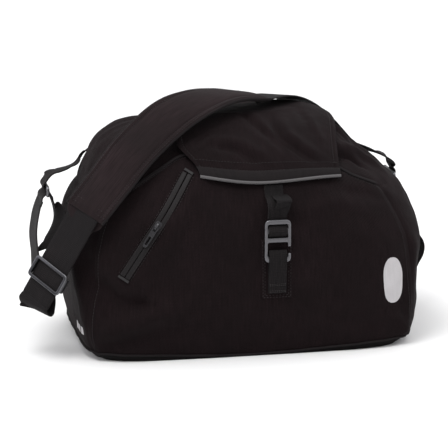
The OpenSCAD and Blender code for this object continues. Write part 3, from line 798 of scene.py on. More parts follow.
@dataclass
class BagForm:
    """The stuffed bag's outer face, by compass angle and by section from floor to rim."""

    half_length: float = 238.0
    half_depth: float = 141.0
    height: float = 298.0
    seam_low: float = 1.0
    seam_end: float = 6.0
    seam_rise: float = 1.8
    corner: float = 28.0
    hook_x: float = 30.0
    sections: np.ndarray = field(init=False)
    folds: tuple[Fold, ...] = (
        Fold(((-206, -119, 40), (-186, -130, 46), (-162, -136, 57), (-130, -138, 66), (-100, -140, 72)),
             15, 6.5),
        Fold(((-168, -134, 112), (-160, -137, 100), (-150, -139, 84), (-134, -140, 70)), 7, -4.5),
        Fold(((-150, -138, 108), (-142, -140, 94), (-128, -140, 82)), 6, 3.5),
        Fold(((-199, -120, 118), (-190, -128, 96), (-172, -134, 84), (-140, -137, 92)), 17, -6.5),
        Fold(((-184, -129, 104), (-174, -132, 98), (-160, -136, 95), (-146, -138, 90)), 6, 3.2),
        Fold(((-206, -119, 20), (-170, -130, 26), (-120, -136, 38), (-70, -138, 42)), 13, -3.0),
        Fold(((-228, -78, 135), (-226, -90, 108), (-218, -104, 74), (-205, -118, 20)), 13, 5.0),
        Fold(((-216, -96, 150), (-212, -106, 120), (-200, -120, 84)), 12, -4.0),
        Fold(((222, -106, 150), (222, -108, 120), (217, -119, 64), (213, -118, 20)), 10, 3.5),
        Fold(((193, -130, 50), (204, -125, 32), (213, -118, 16)), 7, 3.0),
        Fold(((60, -137, 190), (84, -130, 198), (112, -120, 200), (140, -108, 196)), 11, 2.4),
        Fold(((120, -112, 214), (150, -106, 204), (190, -92, 190)), 10, -3.0),
        Fold(((-60, -132, 200), (-30, -138, 170), (-18, -142, 120), (-26, -142, 70)), 26, 2.0),
        Fold(((90, -139, 150), (104, -140, 110), (100, -140, 60)), 24, -2.2),
        Fold(((128, -79, 250), (137, -66, 254), (149, -62, 248), (166, -68, 235)), 6, -8.0),
        Fold(((124, -60, 262), (146, -44, 256), (172, -40, 243), (196, -46, 224)), 8, 5.0),
        Fold(((150, -20, 258), (176, -14, 244), (200, -16, 222)), 7, -5.0),
        Fold(((150, 6, 262), (182, 12, 240), (206, 18, 214)), 9, 4.5),
        Fold(((-150, 118, 210), (-90, 132, 176), (-30, 138, 150), (40, 136, 160)), 22, 3.5),
        Fold(((-120, 134, 120), (-40, 139, 96), (60, 139, 92), (130, 134, 110)), 24, -4.0),
        Fold(((-170, 122, 60), (-60, 138, 46), (70, 138, 44), (170, 122, 56)), 16, 3.0),
        Fold(((120, 118, 200), (150, 124, 150), (160, 128, 90)), 14, 3.5))
    slack: Ripple = Ripple(1.6, 150, 46, 11)
    fine_slack: Ripple = Ripple(0.5, 40, 17, 5)
    fold_depth: float = 1.3
    deepest: float = -9.0
    proudest: float = 6.5
    taut_half: float = 21.0
    taut_low: float = 60.0
    taut_high: float = 182.0
    taut_across: float = 22.0
    taut_edge: float = 18.0

    def __post_init__(self) -> None:
        """Turns the sections' shares to millimetres."""
        self.sections = SECTIONS * np.array([self.height, self.half_length, self.half_length,
                                             self.half_depth, self.half_depth, 1, 1])

    @property
    def rim(self) -> float:
        """The section number of the mouth's rim."""
        return float(len(self.sections) - 1)

    def bare(self, angle: np.ndarray, turn: np.ndarray) -> np.ndarray:
        """Returns places on the smooth form at compass angles and section numbers."""
        angle, turn = np.broadcast_arrays(np.asarray(angle, float), np.asarray(turn, float))
        section = along(self.sections, turn)
        cos, sin = np.cos(np.radians(angle)), np.sin(np.radians(angle))
        end = np.where(cos < 0, section[..., 1], section[..., 2])
        side = np.where(sin < 0, section[..., 3], section[..., 4])
        power = section[..., 5]
        reach = ((np.abs(cos) / end) ** power + (np.abs(sin) / side) ** power) ** (-1 / power)
        return np.stack([reach * cos, section[..., 6] + reach * sin, section[..., 0]], -1)

    def outward(self, angle: np.ndarray, turn: np.ndarray) -> np.ndarray:
        """Returns the way that the smooth form faces."""
        return unit(np.cross(self.bare(angle + 0.5, turn) - self.bare(angle - 0.5, turn),
                             self.bare(angle, turn + 0.05) - self.bare(angle, turn - 0.05)))

    def from_end(self, angle: np.ndarray) -> np.ndarray:
        """Returns the compass angle from the nearer end."""
        return np.degrees(np.arcsin(np.abs(np.sin(np.radians(angle)))))

    def shoulder(self, angle: np.ndarray) -> np.ndarray:
        """Returns the shoulder seam's section number at each angle."""
        return self.seam_end + self.seam_rise * ease((self.from_end(angle) - 26) / 26)

    def foot(self, angle: np.ndarray) -> np.ndarray:
        """Returns the foot seam's section number at each angle."""
        return self.seam_low * (0.25 + 0.75 * np.cos(np.radians(angle)) ** 2)

    def level(self, height: np.ndarray) -> np.ndarray:
        """Returns the section number at each height."""
        turns = np.linspace(0, self.rim, 1200)
        return np.interp(height, along(self.sections, turns)[:, 0], turns)

    def front_y(self, x: np.ndarray, z: np.ndarray) -> np.ndarray:
        """Returns the smooth front face's depth."""
        section = along(self.sections, self.level(z))
        end = np.where(np.asarray(x) < 0, section[..., 1], section[..., 2])
        power = section[..., 5]
        return section[..., 6] - section[..., 3] * (1 - (np.abs(x) / end) ** power) ** (1 / power)

    def top_z(self, x: np.ndarray, y: np.ndarray) -> np.ndarray:
        """Returns the height of the bag's top in plan, level across the mouth."""
        low = np.full(np.broadcast(x, y).shape, 4.0)
        high = np.full_like(low, self.rim)
        for _ in range(14):
            mid = (low + high) / 2
            section = along(self.sections, mid)
            end = np.where(x < 0, section[..., 1], section[..., 2])
            side = np.where(y < section[..., 6], section[..., 3], section[..., 4])
            held = ((np.abs(x) / end) ** section[..., 5]
                    + (np.abs(y - section[..., 6]) / side) ** section[..., 5]) < 1
            low, high = np.where(held, mid, low), np.where(held, high, mid)
        return along(self.sections, (low + high) / 2)[..., 0]

    def gathers(self, angle: np.ndarray, turn: np.ndarray) -> np.ndarray:
        """Returns the collar's pleats, which grow from the shoulder seam to the rim."""
        up = np.clip((turn - self.shoulder(angle)) / (self.rim - self.shoulder(angle)), 0, 1)
        a = np.radians(angle)
        wave = (np.sin(23 * a + 1.1 * np.sin(3 * a)) + 0.6 * np.sin(37 * a + 2.0 + np.sin(5 * a))
                + 0.35 * np.sin(61 * a + 0.7))
        slack = (0.55 + 1.0 * np.exp(-((angle + 8) / 40) ** 2)
                 + 0.3 * np.exp(-((angle - 120) / 40) ** 2))
        return 1.7 * slack * ease(up * 1.25) * wave

    def seams(self, angle: np.ndarray, turn: np.ndarray) -> np.ndarray:
        """Returns how far the cloth pulls in beside its seams."""
        place = self.bare(angle, turn)
        radius = np.linalg.norm(place[..., :2], axis=-1)
        corner = np.abs(self.from_end(angle) - self.corner) * math.pi / 180 * radius
        below = turn < self.shoulder(angle)
        pull = 1.5 * np.exp(-(corner / 3.2) ** 2) * below
        rows = np.abs(turn - self.shoulder(angle)) * 30
        return -pull - 1.4 * np.exp(-(rows / 4.0) ** 2)

    def cloth(self, angle: np.ndarray, turn: np.ndarray, off: float = 0.0) -> np.ndarray:
        """Returns places on the slack, folded cloth.

        Args:
            angle: Compass angles.
            turn: Section numbers.
            off: How far outside the cloth's face.

        Returns:
            The places.
        """
        angle, turn = np.broadcast_arrays(np.asarray(angle, float), np.asarray(turn, float))
        place = self.bare(angle, turn)
        lift = self.gathers(angle, turn) + self.slack.lift(place) + self.fine_slack.lift(place)
        for fold in self.folds:
            lift = lift + self.fold_depth * fold.lift(place)
        # taut beside the hook's patch, where several layers are sewn, and near the floor
        beside = np.abs(place[..., 0] - self.hook_x) - self.taut_half
        taut = (1 - ease((self.taut_across - beside) / self.taut_across)
                * ease((place[..., 2] - self.taut_low) / self.taut_edge)
                * ease((self.taut_high - place[..., 2]) / self.taut_edge) * (place[..., 1] < 0))
        rested = ease((place[..., 2] + 2) / 16)
        lift = lift * taut * rested + self.seams(angle, turn)
        lift = np.clip(lift, self.deepest, self.proudest)
        place = place + self.outward(angle, turn) * (lift + off)[..., None]
        place[..., 2] = np.maximum(place[..., 2], 0.0)
        return ZIP.raised(place, off)


@dataclass(frozen=True)
class ZipLine:
    """The slanted line of the pocket's zip, and the flat strip of cloth around it."""

    low: tuple[float, float, float] = (-171.0, -139.0, 118.0)
    mid: tuple[float, float, float] = (-114.0, -131.5, 200.0)
    top: tuple[float, float, float] = (-82.0, -107.0, 245.0)
    tape_wide: float = 6.6
    slit: float = 1.2
    slider_at: float = 78.0

    def leg(self, upper: bool) -> tuple[np.ndarray, np.ndarray, np.ndarray, float]:
        """Returns a leg's start, direction, facing and length."""
        start = np.array(self.mid if upper else self.low)
        end = np.array(self.top if upper else self.mid)
        heading = unit(end - start)
        rough = np.array((-0.25, -0.8, 0.55) if upper else (-0.32, -0.94, 0.22))
        facing = unit(rough - (rough @ heading) * heading)
        return start, heading, facing, float(np.linalg.norm(end - start))

    def stops(self) -> np.ndarray:
        """Returns the places that the zip passes through."""
        low, mid, top = (np.array(p) for p in (self.low, self.mid, self.top))
        return np.array([low, (low + mid) / 2, mid, top])

    def facings(self) -> np.ndarray:
        """Returns the way that the zip faces at each stop."""
        return np.array([self.leg(False)[2]] * 3 + [self.leg(True)[2]])

    def sides(self) -> np.ndarray:
        """Returns the direction to the zip's lower right side at each stop."""
        headings = [self.leg(False)[1]] * 3 + [self.leg(True)[1]]
        return unit(np.cross(self.facings(), np.array(headings)))

    def axes(self, run: float) -> Axes:
        """Returns the directions of a flat part that lies on the zip's straight run."""
        start, heading, facing, _ = self.leg(False)
        right = np.cross(heading, facing)
        return Axes(tuple(start + heading * run), tuple(right), tuple(heading), tuple(facing))

    def raised(self, place: np.ndarray, off: float) -> np.ndarray:
        """Pulls the cloth flat under the zip, so that the tapes lie on it."""
        for upper in (False, True):
            start, heading, facing, length = self.leg(upper)
            rel = place - start
            run = rel @ heading
            out = rel @ facing
            side = np.abs(rel @ np.cross(heading, facing))
            if upper:
                ends = ease((length + 24 - run) / 26) * ease((run + 30) / 30)
            else:
                ends = ease((run + 24) / 20) * ease((length + 30 - run) / 30)
            near = (1 - ease((side - 11) / 24)) * ends * (np.abs(out) < 45)
            place = place + facing * ((off - 1.2 - out) * near)[..., None]
        return place


ZIP = ZipLine()
FORM = BagForm()


@dataclass
class BagBody:
    """The canvas shell: four side panels, the underside, the collar and their seams."""

    finishes: Finishes
    cloth_thick: float = 1.6
    collar_thick: float = 1.2
    lining_thick: float = 1.0
    lining_in: float = 15.6
    hem_radius: float = 2.2
    foot_radius: float = 1.5
    seam_tape: float = 4.6
    stitch_in: float = 1.6      # degrees round the bag from a corner seam to its stitches
    stitch_off: float = 0.15
    eyelet_wide: float = 9.2
    eyelet_hole: float = 4.8
    loop_y: float = 92.0
    loop_wide: float = 15.0

    def side_grid(self, middle: float, reach: float, cols: int, rows: int = 96) -> np.ndarray:
        """Returns a side panel's places, from the foot seam up to the shoulder seam."""
        angles = np.linspace(middle - reach, middle + reach, cols + 1)
        low, high = FORM.foot(angles), FORM.shoulder(angles)
        share = np.linspace(0, 1, rows + 1)[:, None]
        return FORM.cloth(angles[None, :] + 0 * share, low + (high - low) * share)

    def build_panels(self) -> None:
        """Makes the front, back and end panels."""
        side = 90 - FORM.corner
        for name, node, middle, reach, cols in (
                ("front_cloth", "front_panel", -90, side, 220),
                ("back_cloth", "back_panel", 90, side, 190),
                ("left_end_cloth", "left_end_panel", 180, FORM.corner, 84),
                ("right_end_cloth", "right_end_panel", 0, FORM.corner, 84)):
            grid = self.side_grid(middle, reach, cols)
            add_piece(name, thick_cloth(grid, self.cloth_thick), self.finishes.canvas,
                      "bag", [node])

    def build_underside(self) -> None:
        """Makes the underside, flat on the floor and turned up to the foot seam."""
        cols, rows = 300, 10
        angles = np.linspace(0, 360, cols, endpoint=False)
        edge = FORM.foot(angles)
        turned = [FORM.cloth(angles, edge * (1 - k / rows)) for k in range(rows + 1)]
        flat = [turned[-1] * np.array([1, 1, 0]) * share for share in (0.98, 0.8, 0.5, 0.2)]
        rings = np.array(turned + flat)[::-1]
        shape = thick_cloth(rings, self.cloth_thick, True)
        count = len(shape.points) // 2
        shape.faces.append(list(range(cols))[::-1])
        shape.faces.append(list(range(count, count + cols)))
        shape.points[count:count + 3 * cols, 2] = self.cloth_thick
        shape.threads = shape.points.copy()
        # the underside's cloth is painted darker, as painted shade under the bag
        add_piece("underside_cloth", shape, self.finishes.base_canvas_painted_shade,
                  "bag", ["bottom_panel"])

    def build_collar(self) -> None:
        """Makes the gathered collar, with its rolled hem and eyelets."""
        cols, rows = 520, 64
        angles = np.linspace(-180, 180, cols, endpoint=False)
        low = FORM.shoulder(angles)
        share = np.linspace(0, 1, rows + 1)[:, None]
        grid = FORM.cloth(angles[None, :] + 0 * share, low + (FORM.rim - low) * share)
        add_piece("collar_cloth", thick_cloth(grid, self.collar_thick, True), self.finishes.canvas,
                  "bag", ["collar"])
        rim = FORM.cloth(angles[::2], np.full(cols // 2, FORM.rim))
        rim = rim + np.array([0, 0, 2.3])
        radius = self.hem_radius + 0.25 * np.sin(np.radians(angles[::2]) * 46)
        add_piece("collar_drawn_hem", rod(rim, radius, 12, True), self.finishes.tape, "bag",
                  ["collar_hem"])
        below_hem = np.full(cols // 2, FORM.rim - 0.28)
        seam = FORM.cloth(angles[::2], below_hem, 0.1)
        facing = FORM.outward(angles[::2], below_hem)
        add_piece("collar_hem_stitches", stitch_row(seam, facing), self.finishes.thread,
                  "bag")
        rings = []
        for turn in (-104.0, -76.0):
            angle, level = np.array([turn]), np.array([FORM.rim - 0.75])
            at = FORM.cloth(angle, level, 0.2)[0]
            out = FORM.outward(angle, level)[0]
            right = unit(np.cross(np.array([0, 0, 1.0]), out))
            outlines = [round_profile(wide, wide, 40) for wide in (self.eyelet_wide, self.eyelet_hole)]
            rings.append(plate(outlines, 1.2, 0.45, Axes(at, right, np.cross(out, right), out), 0.5))
        add_piece("collar_rope_eyelets", Shape.joined(rings), self.finishes.strap_metal, "bag",
                  ["collar_eyelets"])

    def build_seams(self) -> None:
        """Makes the piping on the foot and shoulder seams, and the seams' stitches."""
        around = np.arange(0, 360, 1.0)
        foot = FORM.cloth(around, FORM.foot(around), 1.1)
        foot[:, 2] = np.maximum(foot[:, 2], 1.6)
        add_piece("foot_seam_piping", rod(foot, self.foot_radius, 8, True), self.finishes.tape, "bag",
                  ["foot_piping"])
        lines, rows = [], []
        corners_at = (-152, -28, 28, 152)
        for low, high in (corners_at[:2], corners_at[2:]):
            angles = np.arange(low, high + 0.5, 0.75)
            turns = FORM.shoulder(angles)
            path = FORM.cloth(angles, turns, 1.5)
            out = FORM.outward(angles, turns)
            stops = path[::4]
            lines.append(sweep(stops, np.cross(out, unit(np.gradient(path, axis=0)))[::4],
                               tape_profile(self.seam_tape, 2.0, 0.5), 3 * len(stops)))
            rows.append(stitch_row(FORM.cloth(angles, turns - 0.13, self.stitch_off), out))
        add_piece("shoulder_seam_piping", Shape.joined(lines), self.finishes.tape, "bag",
                  ["shoulder_piping"])
        for corner in corners_at:
            turns = np.linspace(1.2, float(FORM.shoulder(np.array([float(corner)]))[0]) - 0.15, 70)
            # beside the seam, on the front's or the back's side of it
            beside = corner + math.copysign(self.stitch_in, math.copysign(90, corner) - corner)
            angles = np.full(70, beside)
            rows.append(stitch_row(FORM.cloth(angles, turns, self.stitch_off), FORM.outward(angles, turns)))
        add_piece("panel_seam_stitches", Shape.joined(rows), self.finishes.thread,
                  "bag")

    def build_inside(self) -> None:
        """Makes the pocket's lining and the tie loops, and dresses the board."""
        angles = np.linspace(-148, -110, 40)
        share = np.linspace(1.2, 5.7, 50)[:, None]
        angles, levels = np.broadcast_arrays(angles[None, :], share)
        hang = FORM.bare(angles, levels)
        sag = Ripple(0.6, 70, 25, 21).lift(hang) - self.lining_in
        lining = thick_cloth(hang + FORM.outward(angles, levels) * sag[..., None], self.lining_thick)
        add_piece("pocket_lining_cloth", lining, self.finishes.lining, "bag", ["pocket_lining"])
        loops = []
        for x in (-60.0, 80.0):
            y = self.loop_y
            stops = [(x, y, 196), (x, y - 2, 206), (x, y - 9, 214), (x, y - 18, 204), (x, y - 18, 184),
                     (x, y - 9, 172), (x, y - 1, 180), (x, y, 190)]
            tape = tape_profile(self.loop_wide, 1.6)
            loops.append(sweep(stops, [(1, 0, 0)] * len(stops), tape, 60))
            for k in range(4):
                stack = [(x, y + 2.2 + 3.1 * k, z) for z in (178, 191, 204)]
                loops.append(sweep(stack, [(1, 0, 0)] * 3, tape_profile(self.loop_wide, 2.9), 10))
            rows_z = np.linspace(181, 201, 12)
            for side in (-5.5, 5.5):
                path = np.array([(x + side, y - 0.9, z) for z in rows_z])
                loops.append(stitch_row(path, (0, -1, 0)))
        add_piece("rope_tie_tapes", Shape.joined(loops), self.finishes.red_webbing, "bag",
                  ["rope_tie_loops"])
        dress("base_board", self.finishes.foam)

    def build(self) -> None:
        """Makes the whole shell."""
        self.build_panels()
        self.build_underside()
        self.build_collar()
        self.build_seams()
        self.build_inside()


def dress(node: str, material: bpy.types.Material) -> None:
    """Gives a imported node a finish, and leaves its form alone."""
    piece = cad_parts[node]
    piece.data.materials.clear()
    piece.data.materials.append(material)


@dataclass
class Marks:
    """Plain marks pressed on the canvas in pale film."""

    finishes: Finishes
    mark_angle: float = -34.2
    mark_half: float = 2.9
    mark_z: float = 93.0
    mark_rise: float = 31.0
    bars: int = 3
    bar_angle: float = 196.0
    bar_pitch: float = 3.4
    bar_wide: float = 2.2
    bar_low: float = 33.0
    bar_high: float = 43.0

    def build(self) -> None:
        """Makes the rounded mark on the right corner and the bars on the left end."""
        rows, cols = 60, 20
        u = np.linspace(-1, 1, rows)[:, None]
        half = self.mark_half * np.maximum(1.02 - np.abs(u) ** 2.6, 0.0) ** 0.45
        angles = self.mark_angle + half * np.linspace(-1, 1, cols)[None, :]
        turns = FORM.level(self.mark_z + self.mark_rise * u) + 0 * angles
        grid = FORM.cloth(angles, turns, 0.35)
        add_piece("corner_mark", thick_cloth(grid, 0.9), self.finishes.film,
                  "bag", ["side_mark"])
        bars = []
        for k in range(self.bars):
            angles = self.bar_angle + k * self.bar_pitch + np.linspace(0, self.bar_wide, 6)[None, :]
            turns = FORM.level(np.linspace(self.bar_low, self.bar_high, 9))[:, None] + 0 * angles
            bars.append(thick_cloth(FORM.cloth(angles + 0 * turns, turns, 0.3), 0.8))
        add_piece("end_bar_marks", Shape.joined(bars), self.finishes.film,
                  "bag", ["end_bars"])


@dataclass
class FrontPocket:
    """The slanted zip on the front, with its tapes, coil, stops, slider and pull."""

    finishes: Finishes
    tape_thick: float = 1.2
    slider_thick: float = 1.4
    bridge_wide: float = 2.4
    pull_thick: float = 1.6
    pull_lean: float = 9.0
    pull_pivot: tuple[float, float, float] = (0.0, -4.0, 7.2)

    def build_tapes(self) -> None:
        """Makes the two tapes, sewn down each side, and the bar tacks."""
        stops, sides, facings = ZIP.stops(), ZIP.sides(), ZIP.facings()
        rows = []
        for name, node, sign in (("zip_tape_left", "zip_tape_upper", 1.0),
                                 ("zip_tape_right", "zip_tape_lower", -1.0)):
            shift = sign * (ZIP.slit + ZIP.tape_wide) / 2
            places = stops + sides * shift
            tape = sweep(places, sides, tape_profile(ZIP.tape_wide, self.tape_thick, 0.15), 90)
            add_piece(name, tape, self.finishes.zip_tape, "bag", [node])
            # one row on the tape and one on the canvas beside it
            for beside, lift in ((-1.0, 0.7), (1.8, -1.0)):
                reach = ZIP.slit / 2 + ZIP.tape_wide + beside
                row = smooth_line(stops + sides * sign * reach + facings * lift, 80)
                rows.append(stitch_row(row, along(facings, np.linspace(0, 3, 81))))
        for run in (-1.2, -2.6):
            axes = ZIP.axes(run)
            path = axes.placed(np.array([(x, 0, 0.9) for x in np.linspace(-7.6, 7.6, 12)]))
            rows.append(stitch_row(path, axes.out, 1.6, 0.2, 0.5))
        add_piece("zip_stitches", Shape.joined(rows), self.finishes.thread, "bag")

    def build_runner(self) -> None:
        """Makes the slider with its bridge, and the pull threaded on the bridge."""
        axes = ZIP.axes(ZIP.slider_at)
        body = plate([round_corners([(-4.6, 5.5, 1.2), (-3, 7, 1.2), (3, 7, 1.2), (4.6, 5.5, 1.2),
                                     (3.4, -6, 1.4), (-3.4, -6, 1.4)])],
                     self.slider_thick, 0.4, axes, 1.7)
        side_on = Axes(axes.at, axes.up, axes.out, axes.right)
        bridge = plate([round_corners([
            (-4.75, 2.2, 0.3), (-4.75, 10.1, 2.2), (4.75, 10.1, 2.2), (4.75, 2.2, 0.3),
            (3.3, 2.2, 0.3), (3.3, 9.1, 1.2), (-3.3, 9.1, 1.2), (-3.3, 2.2, 0.3)])],
                       self.bridge_wide, 0.3, side_on)
        add_piece("zip_runner", Shape.joined([body, bridge]), self.finishes.zip_metal, "slider",
                  ["zip_slider"])
        lean = math.radians(self.pull_lean)
        start = axes.placed(np.array([self.pull_pivot]))[0]
        up = np.array(axes.up) * math.cos(lean) + np.array(axes.out) * math.sin(lean)
        out = np.array(axes.out) * math.cos(lean) - np.array(axes.up) * math.sin(lean)
        tilted = Axes(start, axes.right, up, out)
        outer = round_corners([(-3.4, 4.5, 2.4), (3.4, 4.5, 2.4), (3.7, -10, 6),
                               (3.2, -27.7, 3), (-3.2, -27.7, 3), (-3.7, -10, 6)], 9)
        hole = box_corners(4, 6.4, 1.0)
        lower_hole = round_corners([(-1.6, -12, 0.8), (1.6, -12, 0.8), (1.4, -24, 1.2), (-1.4, -24, 1.2)])
        add_piece("zip_pull_tab", plate([outer, hole, lower_hole], self.pull_thick, 0.45, tilted),
                  self.finishes.zip_metal, "pull", ["zip_pull"])

    def build(self) -> None:
        """Makes the zip."""
        self.build_tapes()
        self.build_runner()
        dress("zip_coil", self.finishes.zip_plastic)
        dress("zip_end_stops", self.finishes.zip_plastic)


@dataclass
class HookClosure:
    """The plate hook, its webbing, and the patch and loop that it catches."""

    finishes: Finishes
    flap: "Flap"
    hook_top: float = 187.0
    hook_wide: float = 35.0
    hook_tall: float = 57.0
    hook_thick: float = 4.0
    web: float = 25.0
    web_thick: float = 1.4
    patch_wide: float = 41.0
    patch_low: float = 80.0
    patch_high: float = 160.0
    loop_low: float = 88.0
    loop_top: float = 146.0
    back: float = field(init=False)
    front: float = field(init=False)
    middle: float = field(init=False)
    hem: np.ndarray = field(init=False)

    def __post_init__(self) -> None:
        """Finds the depths that the parts sit at."""
        flap = self.flap
        self.back = self.face(150.0) - 6
        self.front = self.back - self.hook_thick
        self.middle = (self.back + self.front) / 2
        share = (FORM.hook_x + flap.left) / (flap.left + flap.right)
        self.hem = flap.surface(np.array([share]), np.array([1.0]), -1.0)[0]

    def face(self, height: float) -> float:
        """Returns the depth of the bag's front behind the closure."""
        return float(FORM.front_y(np.array([FORM.hook_x]), np.array([height]))[0])

    def build_patch(self) -> None:
        """Makes the canvas patch, its turned edge and two rows of stitches."""
        x, low, high, wide = FORM.hook_x, self.patch_low, self.patch_high, self.patch_wide
        us = np.linspace(-1, 1, 27)
        vs = np.linspace(0, 1, 49)[:, None]
        px = x + us[None, :] * wide / 2 + 0 * vs
        pz = low + (high - low) * vs + 0 * us[None, :]
        rim = np.minimum((1 - np.abs(us[None, :])) * wide / 2,
                         np.minimum(vs, 1 - vs) * (high - low))
        lift = 1.2 + 0.7 * np.exp(-((rim - 2.2) / 1.6) ** 2) - 0.5 * np.exp(-(rim / 0.8) ** 2)
        grid = np.stack([px, FORM.front_y(px, pz) - lift, pz], -1)
        add_piece("hook_patch_cloth", thick_cloth(grid, 1.0), self.finishes.canvas,
                  "bag", ["hook_patch"])
        rows = []
        for inset in (2.0, 4.6):
            a, b, c, d = x - wide / 2 + inset, x + wide / 2 - inset, low + inset, high - inset
            for start, end in (((a, c), (b, c)), ((b, c), (b, d)), ((b, d), (a, d)), ((a, d), (a, c))):
                xs, zs = np.linspace(start[0], end[0], 30), np.linspace(start[1], end[1], 30)
                path = np.stack([xs, FORM.front_y(xs, zs) - 1.85 + 0.1 * inset, zs], -1)
                rows.append(stitch_row(path, (0, -1, 0)))
        add_piece("hook_patch_stitches", Shape.joined(rows), self.finishes.thread, "bag")

    def build_loop(self) -> None:
        """Makes the webbing loop that the hook catches, with its bar tack."""
        x, out, low, top = FORM.hook_x, self.front - 1.7, self.loop_low, self.loop_top
        stops = [(x, self.face(low) - 2.9, low), (x, self.face(110) - 2.9, 110),
                 (x, self.face(130) - 2.9, top - 12), (x, self.face(140) - 3.2, top - 5),
                 (x, self.middle, top), (x, out, top - 5), (x, out, top - 16),
                 (x, self.face(108) - 6.3, 108), (x, self.face(low) - 4.9, low)]
        loop = sweep(stops, [(1, 0, 0)] * len(stops), tape_profile(self.web - 1, self.web_thick), 110)
        add_piece("hook_loop_webbing", loop, self.finishes.webbing, "bag", ["hook_loop"])
        rows = []
        for height in (90.0, 91.8, 99.0, 100.8):
            y = self.face(height) - 5.7 - (height - low) * 0.055
            path = np.stack([np.linspace(x - 11, x + 11, 20), np.full(20, y), np.full(20, height)], -1)
            rows.append(stitch_row(path, (0, -1, 0), 2.0, 0.3, 0.55))
        add_piece("hook_loop_bar_tacks", Shape.joined(rows), self.finishes.thread,
                  "bag")

    def build_hook(self) -> None:
        """Makes the plate hook: two slots for webbing, and a catch open to the right."""
        half, side = self.hook_tall / 2, self.hook_wide / 2
        inner = side - self.hook_thick
        outer = round_corners([
            (-side, half, 6.5), (side, half, 6.5), (side, -7.5, 1.6), (inner, -7.5, 1.6),
            (inner, -1.5, 2.4), (-inner, -1.5, 2.4), (-inner, -21.5, 4.5), (inner, -21.5, 2.4),
            (inner, -16.5, 1.8), (side, -16.5, 1.8), (side, -half, 6.5), (-side, -half, 6.5)], 8)
        slots = [box_corners(27, 6, 1.8, (0, z)) for z in (19.5, 7.5)]
        centre = (FORM.hook_x, self.middle, self.hook_top - half)
        axes = Axes(centre, (1, 0, 0), (0, 0, 1), (0, -1, 0))
        add_piece("plate_hook", plate([outer, *slots], self.hook_thick, 1.1, axes),
                  self.finishes.hook_metal, "hook", ["g_hook"], 40)

    def build_strap(self) -> None:
        """Makes the closure webbing, from under the hem to its fold round the hook's bar."""
        x, face, fold_top = FORM.hook_x, self.back + 2.2, self.hook_top + 5
        top, bar = self.hem[2] - 2.4, self.hook_top - 15.0
        stops = [(x, self.hem[1] - 1, top), (x, self.hem[1] - 7, top - 12),
                 (x, (self.hem[1] + face) / 2 - 7, (top + fold_top) / 2), (x, face - 1, fold_top + 10),
                 (x, face, fold_top), (x, face, self.hook_top - 3), (x, face - 0.8, bar + 8.6),
                 (x, self.middle, bar + 6), (x, self.front - 2.2, bar + 1.8),
                 (x, self.front - 2.2, bar - 1.8), (x, self.middle, bar - 6.2),
                 (x, self.back + 1.6, bar - 8.5)]
        web = sweep(stops, [(1, 0, 0)] * len(stops), tape_profile(self.web, self.web_thick), 150)
        tail_stops = [(x + 5, self.hem[1] + 0.6, top - 1), (x + 7, self.hem[1] - 4.5, top - 12),
                      (x + 8, face - 4.2, fold_top + 20), (x + 6, face - 0.2, fold_top + 9),
                      (x + 3, face + 1.9, fold_top + 3)]
        tail_across = [(0.98, 0.2, 0), (0.95, 0.3, 0), (0.93, 0.36, 0), (0.97, 0.2, 0), (1, 0, 0)]
        tail = sweep(tail_stops, tail_across, tape_profile(self.web - 2, 1.3), 60)
        piece = add_piece("closure_webbing", web, self.finishes.webbing, None,
                          ["hook_strap", "strap_fold"])
        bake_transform(piece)
        add_piece("closure_webbing_tail", tail, self.finishes.webbing, "closure_strap")

    def build(self) -> None:
        """Makes the whole closure."""
        self.build_patch()
        self.build_loop()
        self.build_hook()
        self.build_strap()


